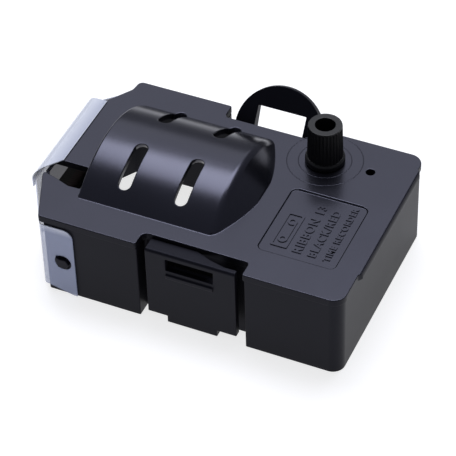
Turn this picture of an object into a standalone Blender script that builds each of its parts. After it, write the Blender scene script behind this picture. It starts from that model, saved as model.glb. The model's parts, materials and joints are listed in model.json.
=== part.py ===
"""Ink ribbon cassette for a time recorder: a base case and a cover with a print head arch, two snap
clips, a clear ribbon guard film, and the ribbon drive that the finger knob turns.

Sizes are in plan millimetres: x runs from the cover's front left corner towards the knob end, y from
the front edge towards the finger loop, and z up from the underside. place() turns them to metres in
the part's frame, whose origin is the middle of the underside.
"""

import math

import bmesh
import bpy
from mathutils import Matrix, Vector

MM = 0.001
GAP = 0.3                    # between touching pieces

# Case
LENGTH = 80.0
DEPTH = 56.0
DECK_Z = 24.6                # top of the cover
COVER_THICKNESS = 2.0
COVER_UNDER_Z = DECK_Z - COVER_THICKNESS
WALL_TOP_Z = COVER_UNDER_Z - GAP
OVERHANG = 0.3               # cover edge past the base walls
WALL = 1.5
FLOOR = 1.5
END_RADIUS = 3.5             # vertical corners of the knob end
END_FLANGE = 0.8             # the knob end's cover edge stands this far out
END_FLANGE_Y = (10.8, 50.8)

# Notches behind the two clips
FRONT_NOTCH_X = (26.4, 54.4)
FRONT_NOTCH_DEPTH = 4.5
REAR_NOTCH_X = (27.2, 54.8)
REAR_NOTCH_Y = DEPTH - FRONT_NOTCH_DEPTH
NOTCH_WALL = 1.0

# Print head arch and the head cavity below it
ARCH_AXIS_Y = 28.5
ARCH_AXIS_Z = 4.7
ARCH_RADIUS = 27.5
ARCH_WALL = 1.6
ARCH_X = (6.0, 42.5)
ARCH_CONE_DROP = 7.2         # how far the cone's radius falls
ARCH_CONE_RUN = 0.75         # length of the cone for each unit of radius
CAVITY_X = (2.4, 44.4)
CAVITY_Y = (8.0, 48.0)
CAVITY_WALL = 1.2
CAVITY_TIP_X = -4.2
CAVITY_TIP_HALF = 9.6        # half the cavity's width at the nose
SLOT_WIDTH = 3.4
SLOT_LENGTH = 13.6
SLOT_X = (16.7, 31.9)
SLOT_ANGLES = (-19.0, 31.5)  # degrees from the crest, front and rear

# Nose, and the film around it
NOSE_X = -6.0
NOSE_Y = (14.0, 42.4)
NOSE_LIP_Z = FLOOR + 0.3     # the nose is open above this lip
NOSE_CHEEK = [(NOSE_X - 4, OVERHANG + WALL + 0.1), (3.2, OVERHANG + WALL + 0.1), (-2.4, 12.9)]
NOSE_NOTCH = [                # opens the cover beside the nose roof into the head cavity
    (NOSE_X - 2, 15.6), (-2.5, 14.2), (1.9, 12.6), (5.2, 12.7), (5.2, 20.5), (NOSE_X - 2, 20.5),
]
FILM_X = -8.5                # outermost face of the film
FILM_THICKNESS = 0.4
FILM_Z = (2.0, 22.0)
FILM_FLANGE_X = -3.3
FILM_FLANGE_Y = (20.4, 44.7)
FILM_TAB_X = 9.1
FILM_TAB_Y = (-0.1, DEPTH + 0.1)  # middle of the film's thickness
FILM_HOLE = (5.9, 10.9, 2.3)      # x, z and radius of the hook hole
HOOK_REACH = 1.1                  # how far the hook stands out of the wall

# Clips
CLIP_X = (28.6, 52.4)
CLIP_THICKNESS = 1.8
CLIP_FRONT_Y = 0.3
CLIP_REAR_Y = DEPTH - 0.3
CLIP_BOTTOM_Z = 2.5
CLIP_TOOTH_X = (33.8, 47.2)
CLIP_TOOTH_Z = 0.5
CLIP_TOP_Z = 23.5
CLIP_WINDOW_X = (34.0, 46.6)
CLIP_WINDOW_Z = (18.2, 21.8)
CLIP_RAMP_Z = 14.7
CLIP_ROOT_Y = FRONT_NOTCH_DEPTH - 0.1  # the front clip's root, just clear of the cover
CLIP_LEDGE = 1.2             # thickness of the front clip's ledge at its root
CLIP_SWEEP = [               # the ledge stops short of the knob end, along this edge
    (41.0, CLIP_ROOT_Y + 1), (41.0, CLIP_ROOT_Y), (45.0, 2.8, 6.0), (49.0, 1.9),
    (60.0, 1.9), (60.0, CLIP_ROOT_Y + 1),
]
LOOP_Z = 20.4                # where the rear clip leans back into the finger loop
LOOP_LEAN = math.radians(27.0)
LOOP_THICKNESS = 1.8
LOOP_WINDOW_HALF = 6.6
LOOP_WINDOW_TOP = 5.7        # along the leaning plate
LOOP_WINDOW_Z = 18.0         # foot of the window, in the upright part
LOOP_RADIUS = (CLIP_X[1] - CLIP_X[0]) / 2

# Ribbon drive
DRIVE_AXIS = (57.2, 45.6)
KNOB_TOP_Z = 36.3
KNOB_FLANGE_RADIUS = 5.05
KNOB_FOOT_RADIUS = 4.65
KNOB_TIP_RADIUS = 4.3
KNOB_BORE_RADIUS = 2.55
KNOB_RIBS = 30
KNOB_RIB_DEPTH = 0.25
KNOB_BORE_DEPTH = 8.5
STEM_RADIUS = 3.0
DRIVE_RADIUS = 4.2
PINCH_RADIUS = 3.6
RIBBON_THICKNESS = 0.2
NIP = RIBBON_THICKNESS + 2 * GAP
PINCH_DIRECTION = Vector((-0.8, -0.6))
PINCH_AXIS = tuple(Vector(DRIVE_AXIS) + PINCH_DIRECTION * (DRIVE_RADIUS + PINCH_RADIUS + NIP))
ARM_PIVOT = (48.6, 30.5)
PAWL_PIVOT = (67.5, 49.6)
PIN_RADIUS = 0.9
PIN_CLEARANCE = 0.2
ROLLER_Z = (3.0, 20.6)
RIBBON_Z = (5.0, 18.0)
PACK_FOLDS = 12              # upright folds of stored ribbon in the knob end
PACK_X = (58.4, LENGTH - OVERHANG - WALL - 0.6)
PACK_Y = (4.0, 38.4)
PACK_WAVE = 0.7              # how far the folds' ends stagger
BRAKE_POST = (56.6, 11.6)    # anchors the brake's leaf spring
FELT_X = (47.4, 53.0)
FELT_THICKNESS = 1.4
BRAKE_LEAF = ((46.4, 0.9), (47.6, 0.15), (50.2, 0.0), (53.0, 0.2), (54.6, 1.4), (55.2, 3.4))  # x, bow
GUIDE_RADIUS = 1.5
GUIDES = {
    "corner_roller_front": (2.9, 4.3),
    "nose_roller_front": (-4.4, 15.4),
    "nose_roller_rear": (-4.4, 41.2),
    "corner_roller_rear": (2.9, 51.7),
}

# Label panel and the small inspection hole in the cover
LABEL_X = (53.9, 74.0)
LABEL_Y = (9.9, 33.0)
LABEL_DEPTH = 0.4
LABEL_CORNER = 1.5
SIGHT_HOLE = (69.3, 45.7, 1.1)

LOOP_TOP_Y = (
    CLIP_REAR_Y + LOOP_RADIUS * math.sin(LOOP_LEAN) + LOOP_THICKNESS * math.cos(LOOP_LEAN)
)
ORIGIN = Vector((
    (FILM_X + LENGTH + END_FLANGE) / 2,
    (OVERHANG - HOOK_REACH + LOOP_TOP_Y) / 2,
    0.0,
))

# Colour as sRGB hex, roughness, metallic value and alpha
LOOKS = {
    "case_black": ("26262c", 0.42, 0.0, 1.0),
    "drive_black": ("1c1c20", 0.5, 0.0, 1.0),
    "guard_film": ("b4bcd6", 0.15, 0.0, 0.45),
    "steel": ("b9bbbf", 0.3, 1.0, 1.0),
    "felt": ("8a8578", 0.95, 0.0, 1.0),
    "ribbon": ("15151d", 0.8, 0.0, 1.0),
    "guide_white": ("d9d8d2", 0.45, 0.0, 1.0),
}


# ---------------------------------------------------------------- helpers

def clear_scene():
    for item in list(bpy.data.objects):
        bpy.data.objects.remove(item, do_unlink=True)


def linear(channel):
    return channel / 12.92 if channel <= 0.04045 else ((channel + 0.055) / 1.055) ** 2.4


def look(name):
    """The Principled material of one entry in LOOKS, made once."""
    if name in bpy.data.materials:
        return bpy.data.materials[name]
    colour, roughness, metallic, alpha = LOOKS[name]
    material = bpy.data.materials.new(name)
    material.use_nodes = True
    shader = material.node_tree.nodes["Principled BSDF"]
    rgb = [linear(int(colour[i:i + 2], 16) / 255) for i in (0, 2, 4)]
    shader.inputs["Base Color"].default_value = (*rgb, 1.0)
    shader.inputs["Roughness"].default_value = roughness
    shader.inputs["Metallic"].default_value = metallic
    shader.inputs["Alpha"].default_value = alpha
    return material


def place(x, y, z=0.0):
    """A plan point in millimetres, as metres in the part's frame."""
    return (Vector((x, y, z)) - ORIGIN) * MM


def add_piece(name, mesh, look_name, pivot=None):
    """Turn a bmesh in plan millimetres into a named object, with its origin on the pivot axis."""
    at = place(*pivot) if pivot else Vector((0, 0, 0))
    for vert in mesh.verts:
        vert.co = place(*vert.co) - at
    bmesh.ops.remove_doubles(mesh, verts=mesh.verts, dist=0.00001)
    bmesh.ops.recalc_face_normals(mesh, faces=mesh.faces)
    data = bpy.data.meshes.new(name)
    mesh.to_mesh(data)
    mesh.free()
    piece = bpy.data.objects.new(name, data)
    piece.location = at
    bpy.context.scene.collection.objects.link(piece)
    if look_name:
        data.materials.append(look(look_name))
    data.shade_smooth()
    data.set_sharp_from_angle(angle=math.radians(30))
    return piece


def shape(piece, operation, mesh):
    """Unite, cut or intersect a piece with a hidden solid made from a bmesh in plan millimetres."""
    number = len(piece.modifiers) + 1
    tool = add_piece(f"{piece.name}_tool_{number}", mesh, None)
    tool.hide_render = True
    tool.display_type = "WIRE"
    boolean = piece.modifiers.new(f"{operation.lower()}_{number}", "BOOLEAN")
    boolean.operation = operation
    boolean.solver = "EXACT"
    boolean.object = tool


def rounded(corners):
    """An outline from (x, y) or (x, y, radius) corners; a radius becomes an arc of short sides."""
    points = []
    count = len(corners)
    for index, corner in enumerate(corners):
        here = Vector(corner[:2])
        radius = corner[2] if len(corner) > 2 else 0.0
        if not radius:
            points.append(here)
            continue
        before = (Vector(corners[index - 1][:2]) - here).normalized()
        after = (Vector(corners[(index + 1) % count][:2]) - here).normalized()
        half = before.angle(after) / 2
        centre = here + (before + after).normalized() * (radius / math.sin(half))
        start = here + before * (radius / math.tan(half)) - centre
        turn = start.angle_signed(here + after * (radius / math.tan(half)) - centre)
        steps = max(2, round(abs(turn) / math.radians(22)) + int(radius > 2))
        for step in range(steps + 1):
            swing = Matrix.Rotation(-turn * step / steps, 2)
            points.append(centre + swing @ start)
    return points


def circle(x, y, radius, sides=32):
    return [
        Vector((x + radius * math.cos(math.tau * i / sides), y + radius * math.sin(math.tau * i / sides)))
        for i in range(sides)
    ]


def knurled(x, y, radius, depth, teeth):
    """A round outline with straight teeth."""
    points = []
    for i in range(teeth * 4):
        reach = radius - (depth if i % 4 > 1 else 0.0)
        angle = math.tau * i / (teeth * 4)
        points.append(Vector((x + reach * math.cos(angle), y + reach * math.sin(angle))))
    return points


def prism(outline, z_low, z_high):
    """An upright prism over a plan outline."""
    mesh = bmesh.new()
    face = mesh.faces.new([mesh.verts.new((p[0], p[1], z_low)) for p in outline])
    raised = bmesh.ops.extrude_face_region(mesh, geom=[face])["geom"]
    bmesh.ops.translate(
        mesh,
        verts=[item for item in raised if isinstance(item, bmesh.types.BMVert)],
        vec=(0, 0, z_high - z_low),
    )
    return mesh


def side_prism(outline, x_low, x_high):
    """A prism along x over an outline of (y, z) points."""
    mesh = bmesh.new()
    face = mesh.faces.new([mesh.verts.new((x_low, p[0], p[1])) for p in outline])
    raised = bmesh.ops.extrude_face_region(mesh, geom=[face])["geom"]
    bmesh.ops.translate(
        mesh,
        verts=[item for item in raised if isinstance(item, bmesh.types.BMVert)],
        vec=(x_high - x_low, 0, 0),
    )
    return mesh


def box(x, y, z):
    return prism([(x[0], y[0]), (x[1], y[0]), (x[1], y[1]), (x[0], y[1])], *z)


def turned(profile, centre, axis, sides):
    """A solid of revolution: (distance along, radius) points, which start and end on the axis."""
    mesh = bmesh.new()
    rings = []
    for along, radius in profile:
        if radius == 0:
            rings.append([mesh.verts.new(Vector(centre) + axis * along)])
            continue
        side = axis.orthogonal().normalized()
        spin = [Matrix.Rotation(math.tau * i / sides, 3, axis) @ side for i in range(sides)]
        rings.append([mesh.verts.new(Vector(centre) + axis * along + arm * radius) for arm in spin])
    for low, high in zip(rings, rings[1:]):
        for i in range(sides):
            j = (i + 1) % sides
            corners = [low[i % len(low)], low[j % len(low)], high[j % len(high)], high[i % len(high)]]
            mesh.faces.new(list(dict.fromkeys(corners)))
    return mesh


def tube(x, y, z_low, z_high, radius, bore, sides=32):
    """An upright ring."""
    mesh = bmesh.new()
    spokes = circle(0, 0, 1, sides)
    for one, two in zip(spokes, spokes[1:] + spokes[:1]):
        corners = [
            [(x + p.x * reach, y + p.y * reach, z) for p in (one, two)]
            for reach, z in ((radius, z_low), (radius, z_high), (bore, z_high), (bore, z_low))
        ]
        for a, b in zip(corners, corners[1:] + corners[:1]):
            mesh.faces.new([mesh.verts.new(co) for co in (a[0], a[1], b[1], b[0])])
    return mesh


def band(path, thickness, z_low, z_high):
    """An upright strip of even thickness along a plan path."""
    left, right = [], []
    points = [Vector(p) for p in path]
    for i, here in enumerate(points):
        ahead = (points[min(i + 1, len(points) - 1)] - here)
        behind = (here - points[max(i - 1, 0)])
        ahead = ahead.normalized() if ahead.length else behind.normalized()
        behind = behind.normalized() if behind.length else ahead
        across = Vector((-(ahead + behind).y, (ahead + behind).x)).normalized()
        reach = thickness / 2 / max(0.5, math.cos(ahead.angle(behind) / 2))
        left.append(here + across * reach)
        right.append(here - across * reach)
    return prism(left + right[::-1], z_low, z_high)


def rear_side(points):
    """Mirror front points to the rear side of the case."""
    return [(p[0], DEPTH - p[1], *p[2:]) for p in points]


# ---------------------------------------------------------------- case

def cover_outline():
    front_x, rear_x = FRONT_NOTCH_X, REAR_NOTCH_X
    return rounded([
        (0, 0, 0.6),
        (front_x[0], 0, 0.5), (front_x[0], FRONT_NOTCH_DEPTH, 1.7),
        (front_x[1], FRONT_NOTCH_DEPTH, 1.0), (front_x[1], 0, 0.5),
        (LENGTH, 0, END_RADIUS),
        (LENGTH, END_FLANGE_Y[0]), (LENGTH + END_FLANGE, END_FLANGE_Y[0]),
        (LENGTH + END_FLANGE, END_FLANGE_Y[1]), (LENGTH, END_FLANGE_Y[1]),
        (LENGTH, DEPTH, END_RADIUS),
        (rear_x[1], DEPTH, 0.5), (rear_x[1], REAR_NOTCH_Y, 1.0),
        (rear_x[0], REAR_NOTCH_Y, 1.0), (rear_x[0], DEPTH, 0.5),
        (1.0, DEPTH, 0.6), (0.6, 52.4, 1.0),
        (NOSE_X, NOSE_Y[1], 2.0), (NOSE_X, NOSE_Y[0], 2.0),
    ])


def base_outline(inset):
    """The base wall's plan, drawn in by inset from the cover's edge."""
    front_x, rear_x = FRONT_NOTCH_X, REAR_NOTCH_X
    side = inset - OVERHANG
    notch_y = FRONT_NOTCH_DEPTH + GAP + side * NOTCH_WALL / WALL
    corner = max(0.3, END_RADIUS - inset)
    return rounded([
        (0.9 + inset, inset, 0.5),
        (front_x[0] - side, inset, 0.3), (front_x[0] - side, notch_y, 0.6),
        (front_x[1] + 0.4 + side, notch_y, 0.6), (front_x[1] + 0.4 + side, inset, 0.3),
        (LENGTH - inset, inset, corner),
        (LENGTH - inset, DEPTH - inset, corner),
        (rear_x[1] + side, DEPTH - inset, 0.3), (rear_x[1] + side, DEPTH - notch_y, 0.6),
        (rear_x[0] - side, DEPTH - notch_y, 0.6), (rear_x[0] - side, DEPTH - inset, 0.3),
        (1.0 + inset, DEPTH - inset, 0.5),
        (NOSE_X + inset, NOSE_Y[1] - inset / 3, 1.5), (NOSE_X + inset, NOSE_Y[0] + inset / 3, 1.5),
    ])


def cavity_outline(grow):
    """The head cavity's plan, which narrows towards the nose."""
    middle = DEPTH / 2
    half = CAVITY_TIP_HALF + grow * 1.2
    return rounded([
        (CAVITY_X[0] - grow * 0.4, CAVITY_Y[0] - grow, 0.8),
        (CAVITY_X[1] + grow, CAVITY_Y[0] - grow, 1.0),
        (CAVITY_X[1] + grow, CAVITY_Y[1] + grow, 1.0),
        (CAVITY_X[0] - grow * 0.4, CAVITY_Y[1] + grow, 0.8),
        (CAVITY_TIP_X, middle + half), (CAVITY_TIP_X, middle - half),
    ])


def base_case():
    case = add_piece("base_case", prism(base_outline(OVERHANG), 0, WALL_TOP_Z), "case_black")
    shape(case, "DIFFERENCE", prism(base_outline(OVERHANG + WALL), FLOOR, DECK_Z))
    shape(case, "UNION", prism(cavity_outline(CAVITY_WALL), FLOOR / 2, WALL_TOP_Z))
    shape(case, "DIFFERENCE", prism(cavity_outline(0), -1, DECK_Z))
    # The nose is open above its lower lip, so that the ribbon can cross it
    nose = NOSE_CHEEK + rear_side(NOSE_CHEEK)[::-1]
    shape(case, "DIFFERENCE", prism(nose, NOSE_LIP_Z, DECK_Z))
    for axis in GUIDES.values():
        shape(case, "DIFFERENCE", prism(circle(*axis, GUIDE_RADIUS + 2 * GAP, 24), NOSE_LIP_Z, DECK_Z))
    # Seats for the drive socket, and the sunken posts that carry the pins
    shape(case, "DIFFERENCE", prism(circle(*DRIVE_AXIS, STEM_RADIUS + 1.0), -1, FLOOR + 1))
    for axis in (ARM_PIVOT, PAWL_PIVOT):
        shape(case, "UNION", prism(circle(*axis, PIN_RADIUS + 0.9, 20), FLOOR / 2, FLOOR + 0.6))
    shape(case, "UNION", prism(circle(*BRAKE_POST, 0.9, 16), FLOOR / 2, RIBBON_Z[1]))
    # Hook nubs that hold the film's tabs
    x, z, radius = FILM_HOLE
    nub = radius - 0.5
    for wall_y, out in ((OVERHANG, -1), (DEPTH - OVERHANG, 1)):
        hook = [
            (wall_y - out * 0.5, z - nub), (wall_y + out * (HOOK_REACH - 0.2), z - nub * 0.5),
            (wall_y + out * HOOK_REACH, z + nub * 0.4), (wall_y - out * 0.5, z + nub),
        ]
        shape(case, "UNION", side_prism(hook, x - nub, x + nub))


def arch_solid(shrink, x_low, x_high):
    """The arch as a body of revolution, drawn in by shrink."""
    radius = ARCH_RADIUS - shrink
    tip_x = x_high + ARCH_CONE_DROP * ARCH_CONE_RUN
    return turned(
        [(x_low, 0), (x_low, radius), (x_high, radius), (tip_x, radius - ARCH_CONE_DROP), (tip_x, 0)],
        (0, ARCH_AXIS_Y, ARCH_AXIS_Z), Vector((1, 0, 0)), 96,
    )


def stadium(x, y, length, width):
    """A slot outline, long in y."""
    straight = (length - width) / 2
    points = []
    for side in (1, -1):
        for step in range(9):
            angle = math.pi * step / 8 + (0 if side == 1 else math.pi)
            points.append(
                (x + width / 2 * math.cos(angle), y + side * straight + width / 2 * math.sin(angle))
            )
    return points


def top_cover():
    cover = add_piece("top_cover", prism(cover_outline(), COVER_UNDER_Z, DECK_Z), "case_black")
    arch = arch_solid(0, *ARCH_X)
    bmesh.ops.bisect_plane(
        arch, geom=arch.verts[:] + arch.edges[:] + arch.faces[:],
        plane_co=(0, 0, DECK_Z - 1), plane_no=(0, 0, -1), clear_outer=True,
    )
    bmesh.ops.holes_fill(arch, edges=arch.edges[:])
    shape(cover, "UNION", arch)
    shape(cover, "DIFFERENCE", arch_solid(ARCH_WALL, ARCH_X[0] + ARCH_WALL, ARCH_X[1] - ARCH_WALL))
    for tilt in SLOT_ANGLES:
        for x in SLOT_X:
            slot = prism(stadium(x, 0, SLOT_LENGTH, SLOT_WIDTH), ARCH_RADIUS - 5, ARCH_RADIUS + 3)
            turn = Matrix.Rotation(math.radians(-tilt), 3, "X")
            bmesh.ops.rotate(slot, verts=slot.verts, cent=(0, 0, 0), matrix=turn)
            bmesh.ops.translate(slot, verts=slot.verts, vec=(0, ARCH_AXIS_Y, ARCH_AXIS_Z))
            shape(cover, "DIFFERENCE", slot)
    shape(cover, "DIFFERENCE", prism(NOSE_NOTCH, COVER_UNDER_Z - 1, DECK_Z + 1))
    shape(cover, "DIFFERENCE", prism(circle(*DRIVE_AXIS, STEM_RADIUS + GAP), COVER_UNDER_Z - 1, DECK_Z + 1))
    shape(cover, "DIFFERENCE", prism(circle(*SIGHT_HOLE, 20), COVER_UNDER_Z - 1, DECK_Z + 1))
    panel = rounded([
        (LABEL_X[0], LABEL_Y[0], LABEL_CORNER), (LABEL_X[1], LABEL_Y[0], LABEL_CORNER),
        (LABEL_X[1], LABEL_Y[1], LABEL_CORNER), (LABEL_X[0], LABEL_Y[1], LABEL_CORNER),
    ])
    shape(cover, "DIFFERENCE", prism(panel, DECK_Z - LABEL_DEPTH, DECK_Z + 1))


# ---------------------------------------------------------------- clips

def front_clip():
    y, inner = CLIP_FRONT_Y, CLIP_FRONT_Y + CLIP_THICKNESS
    profile = [
        (y, CLIP_BOTTOM_Z), (y, CLIP_TOP_Z - 1.3), (y + 0.4, CLIP_TOP_Z - 0.4), (y + 1.3, CLIP_TOP_Z),
        (CLIP_ROOT_Y, CLIP_TOP_Z), (CLIP_ROOT_Y, CLIP_TOP_Z - CLIP_LEDGE),
        (inner, CLIP_TOP_Z - CLIP_LEDGE - 0.4), (inner, CLIP_BOTTOM_Z),
    ]
    hinge = (sum(CLIP_X) / 2, CLIP_ROOT_Y, CLIP_TOP_Z - 1.0)
    clip = add_piece("front_clip", side_prism(profile, *CLIP_X), "case_black", hinge)
    shape(clip, "UNION", box(CLIP_TOOTH_X, (y, inner), (CLIP_TOOTH_Z, CLIP_BOTTOM_Z + 1)))
    shape(clip, "DIFFERENCE", box(CLIP_WINDOW_X, (y - 1, inner + 0.3), CLIP_WINDOW_Z))
    foot = CLIP_WINDOW_Z[0] + 0.5
    ramp = [(y - 0.5, CLIP_RAMP_Z - 1), (inner + 0.5, foot), (y - 0.5, foot)]
    shape(clip, "DIFFERENCE", side_prism(ramp, *CLIP_WINDOW_X))
    shape(clip, "DIFFERENCE", prism(rounded(CLIP_SWEEP), CLIP_WINDOW_Z[1] - 1, DECK_Z))


def rear_clip_loop():
    y, inner = CLIP_REAR_Y, CLIP_REAR_Y - CLIP_THICKNESS
    root = REAR_NOTCH_Y
    along = Vector((math.sin(LOOP_LEAN), math.cos(LOOP_LEAN)))
    outward = Vector((math.cos(LOOP_LEAN), -math.sin(LOOP_LEAN)))
    foot = Vector((y, LOOP_Z))
    top = foot + along * LOOP_RADIUS
    front = outward * LOOP_THICKNESS
    profile = [
        (inner, CLIP_BOTTOM_Z), (inner, LOOP_Z - 3.4), (root, LOOP_Z - 3.4), (root, LOOP_Z - 2.0),
        (inner, LOOP_Z - 1.6), (inner + 0.1, LOOP_Z), top, top + front, foot + front - Vector((0, 0.6)),
        (y, LOOP_Z - 2.2), (y, CLIP_BOTTOM_Z),
    ]
    centre_x = sum(CLIP_X) / 2
    hinge = (centre_x, root, LOOP_Z - 2.7)
    clip = add_piece("rear_clip_loop", side_prism(profile, *CLIP_X), "case_black", hinge)
    # The loop's round outline is cut square to the leaning plate
    keep = [(centre_x - 20, -30), (centre_x - 20, 0), (CLIP_X[0], 0)]
    keep += [
        (centre_x - LOOP_RADIUS * math.cos(math.pi * i / 28), LOOP_RADIUS * math.sin(math.pi * i / 28))
        for i in range(1, 28)
    ]
    keep += [(CLIP_X[1], 0), (centre_x + 20, 0), (centre_x + 20, -30)]
    lean = Matrix.Rotation(math.radians(90) - LOOP_LEAN, 3, "X")
    outline = prism(keep, -12, 12)
    bmesh.ops.rotate(outline, verts=outline.verts, cent=(0, 0, 0), matrix=lean)
    bmesh.ops.translate(outline, verts=outline.verts, vec=(0, y, LOOP_Z))
    shape(clip, "INTERSECT", outline)
    window = prism([
        (centre_x - LOOP_WINDOW_HALF, 0), (centre_x + LOOP_WINDOW_HALF, 0),
        (centre_x + LOOP_WINDOW_HALF, LOOP_WINDOW_TOP), (centre_x - LOOP_WINDOW_HALF, LOOP_WINDOW_TOP),
    ], -8, 8)
    bmesh.ops.rotate(window, verts=window.verts, cent=(0, 0, 0), matrix=lean)
    bmesh.ops.translate(window, verts=window.verts, vec=(0, y, LOOP_Z))
    shape(clip, "DIFFERENCE", window)
    window_x = (centre_x - LOOP_WINDOW_HALF, centre_x + LOOP_WINDOW_HALF)
    shape(clip, "DIFFERENCE", box(window_x, (inner - 0.5, y + 6), (LOOP_WINDOW_Z, LOOP_Z + 0.8)))
    shape(clip, "UNION", box(CLIP_TOOTH_X, (inner, y), (CLIP_TOOTH_Z, CLIP_BOTTOM_Z + 1)))


# ---------------------------------------------------------------- guard film and ribbon

def film_path():
    half = FILM_THICKNESS / 2
    outer = FILM_X + half
    front = rounded([
        (FILM_TAB_X, FILM_TAB_Y[0]), (0.6, FILM_TAB_Y[0], 2.2), (-4.7, 9.2, 6.0),
        (outer, 17.5, 6.0), (outer, DEPTH / 2),
    ])
    return front[:-1] + [Vector(p[:2]) for p in rear_side(front[:-1])][::-1]


def ribbon_guard_film():
    half = FILM_THICKNESS / 2
    film = add_piece("ribbon_guard_film", band(film_path(), FILM_THICKNESS, *FILM_Z), "guard_film")
    # The flange over the nose bends down into the outer face
    radius = 2.6
    top = DECK_Z + GAP + FILM_THICKNESS
    middle = Vector((FILM_X + radius, top - radius))
    bend = [
        middle + Vector((-math.sin(a), math.cos(a))) * radius
        for a in (math.pi / 16 * i for i in range(9))
    ]
    inside = [middle + (p - middle) * ((radius - FILM_THICKNESS) / radius) for p in bend]
    profile = [Vector((FILM_FLANGE_X, top))] + bend + [Vector((FILM_X, FILM_Z[1] - 3))]
    profile += [Vector((FILM_X + FILM_THICKNESS, FILM_Z[1] - 3))] + inside[::-1]
    profile += [Vector((FILM_FLANGE_X, top - FILM_THICKNESS))]
    flange = bmesh.new()
    face = flange.faces.new([flange.verts.new((p.x, FILM_FLANGE_Y[0], p.y)) for p in profile])
    raised = bmesh.ops.extrude_face_region(flange, geom=[face])["geom"]
    bmesh.ops.translate(
        flange, verts=[item for item in raised if isinstance(item, bmesh.types.BMVert)],
        vec=(0, FILM_FLANGE_Y[1] - FILM_FLANGE_Y[0], 0),
    )
    shape(film, "UNION", flange)
    x, z, radius = FILM_HOLE
    for y in FILM_TAB_Y:
        hole = turned([(-2, 0), (-2, radius), (2, radius), (2, 0)], (x, y, z), Vector((0, 1, 0)), 20)
        shape(film, "DIFFERENCE", hole)


def around(centre, radius, start, end, steps=6):
    """Arc points from one angle to another, in degrees."""
    return [
        Vector((centre[0] + radius * math.cos(math.radians(start + (end - start) * i / steps)),
                centre[1] + radius * math.sin(math.radians(start + (end - start) * i / steps))))
        for i in range(steps + 1)
    ]


def ribbon_path():
    """The ribbon from the pack, along the front, over the nose and back to the drive nip."""
    reach = GUIDE_RADIUS + GAP + RIBBON_THICKNESS / 2
    front_y = FRONT_NOTCH_DEPTH + GAP + NOTCH_WALL + (CAVITY_Y[0] - CAVITY_WALL - 5.8) / 2
    path = [Vector((56.0, front_y)), Vector((26.0, front_y))]
    path += around(GUIDES["corner_roller_front"], reach, 260, 214)
    path += around(GUIDES["nose_roller_front"], reach, 212, 180)
    path += around(GUIDES["nose_roller_rear"], reach, 180, 148)
    path += around(GUIDES["corner_roller_rear"], reach, 146, 100)
    path += [Vector((26.0, DEPTH - front_y)), Vector((46.4, DEPTH - front_y))]
    nip = Vector(DRIVE_AXIS) + PINCH_DIRECTION * (DRIVE_RADIUS + NIP / 2)
    run = Vector((-PINCH_DIRECTION.y, PINCH_DIRECTION.x))
    path += [nip - run * 0.6, nip + run * 0.6, nip + run * 4.5]
    return path


def ribbon_pieces():
    add_piece("ribbon_loop", band(ribbon_path(), RIBBON_THICKNESS, *RIBBON_Z), "ribbon")
    # The stored ribbon lies in upright folds that fill the knob end
    pitch = (PACK_X[1] - PACK_X[0]) / PACK_FOLDS
    ends = range(PACK_FOLDS * 2 + 1)
    front = [(PACK_X[0] + pitch * i / 2, PACK_Y[0] + PACK_WAVE * (i % 2)) for i in ends]
    rear = [(PACK_X[0] + pitch * i / 2, PACK_Y[1] - PACK_WAVE * (i % 2)) for i in ends]
    add_piece("ribbon_pack", prism(front + rear[::-1], *RIBBON_Z), "ribbon")


# ---------------------------------------------------------------- ribbon drive

def feed_knob():
    x, y = DRIVE_AXIS
    flange_z = DECK_Z + GAP
    stem = prism(circle(x, y, STEM_RADIUS), ROLLER_Z[1] + GAP, flange_z + 1)
    knob = add_piece("feed_knob", stem, "drive_black", (x, y, flange_z))
    profile = [
        (0, 0), (0, KNOB_FLANGE_RADIUS), (1.2, KNOB_FLANGE_RADIUS), (1.6, KNOB_FOOT_RADIUS - 0.2), (1.6, 0),
    ]
    shape(knob, "UNION", turned(profile, (x, y, flange_z), Vector((0, 0, 1)), 40))
    grip = bmesh.new()
    foot = knurled(x, y, KNOB_FOOT_RADIUS, KNOB_RIB_DEPTH, KNOB_RIBS)
    tip = knurled(x, y, KNOB_TIP_RADIUS, KNOB_RIB_DEPTH, KNOB_RIBS)
    low = [grip.verts.new((p.x, p.y, flange_z + 0.8)) for p in foot]
    high = [grip.verts.new((p.x, p.y, KNOB_TOP_Z)) for p in tip]
    for i in range(len(low)):
        j = (i + 1) % len(low)
        grip.faces.new([low[i], low[j], high[j], high[i]])
    grip.faces.new(low[::-1])
    grip.faces.new(high)
    shape(knob, "UNION", grip)
    bore = prism(circle(x, y, KNOB_BORE_RADIUS, 28), KNOB_TOP_Z - KNOB_BORE_DEPTH, KNOB_TOP_Z + 1)
    shape(knob, "DIFFERENCE", bore)


def drive_train():
    x, y = DRIVE_AXIS
    wheel = prism(knurled(x, y, DRIVE_RADIUS, 0.4, 32), *ROLLER_Z)
    add_piece("drive_roller", wheel, "drive_black", (x, y, 0))
    sleeve = tube(x, y, 0.4, ROLLER_Z[0] - GAP, STEM_RADIUS + 0.6, 2.0, 24)
    socket = add_piece("drive_socket", sleeve, "drive_black", (x, y, 0))
    for i in range(3):
        angle = math.tau * i / 3
        across = Vector((-math.sin(angle), math.cos(angle))) * 0.6
        inner, outer = [Vector((x, y)) + Vector((math.cos(angle), math.sin(angle))) * r for r in (1.4, 2.6)]
        key = [inner - across, outer - across, outer + across, inner + across]
        shape(socket, "UNION", prism(key, 0.7, ROLLER_Z[0] - GAP - 0.3))
    px, py = PINCH_AXIS
    tyre = prism(knurled(px, py, PINCH_RADIUS, 0.3, 24), ROLLER_Z[0] + 1.2, ROLLER_Z[1] - 1.2)
    roller = add_piece("pinch_roller", tyre, "drive_black", (px, py, 0))
    shape(roller, "DIFFERENCE", prism(circle(px, py, PIN_RADIUS + PIN_CLEARANCE, 16), 0, DECK_Z))


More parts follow.
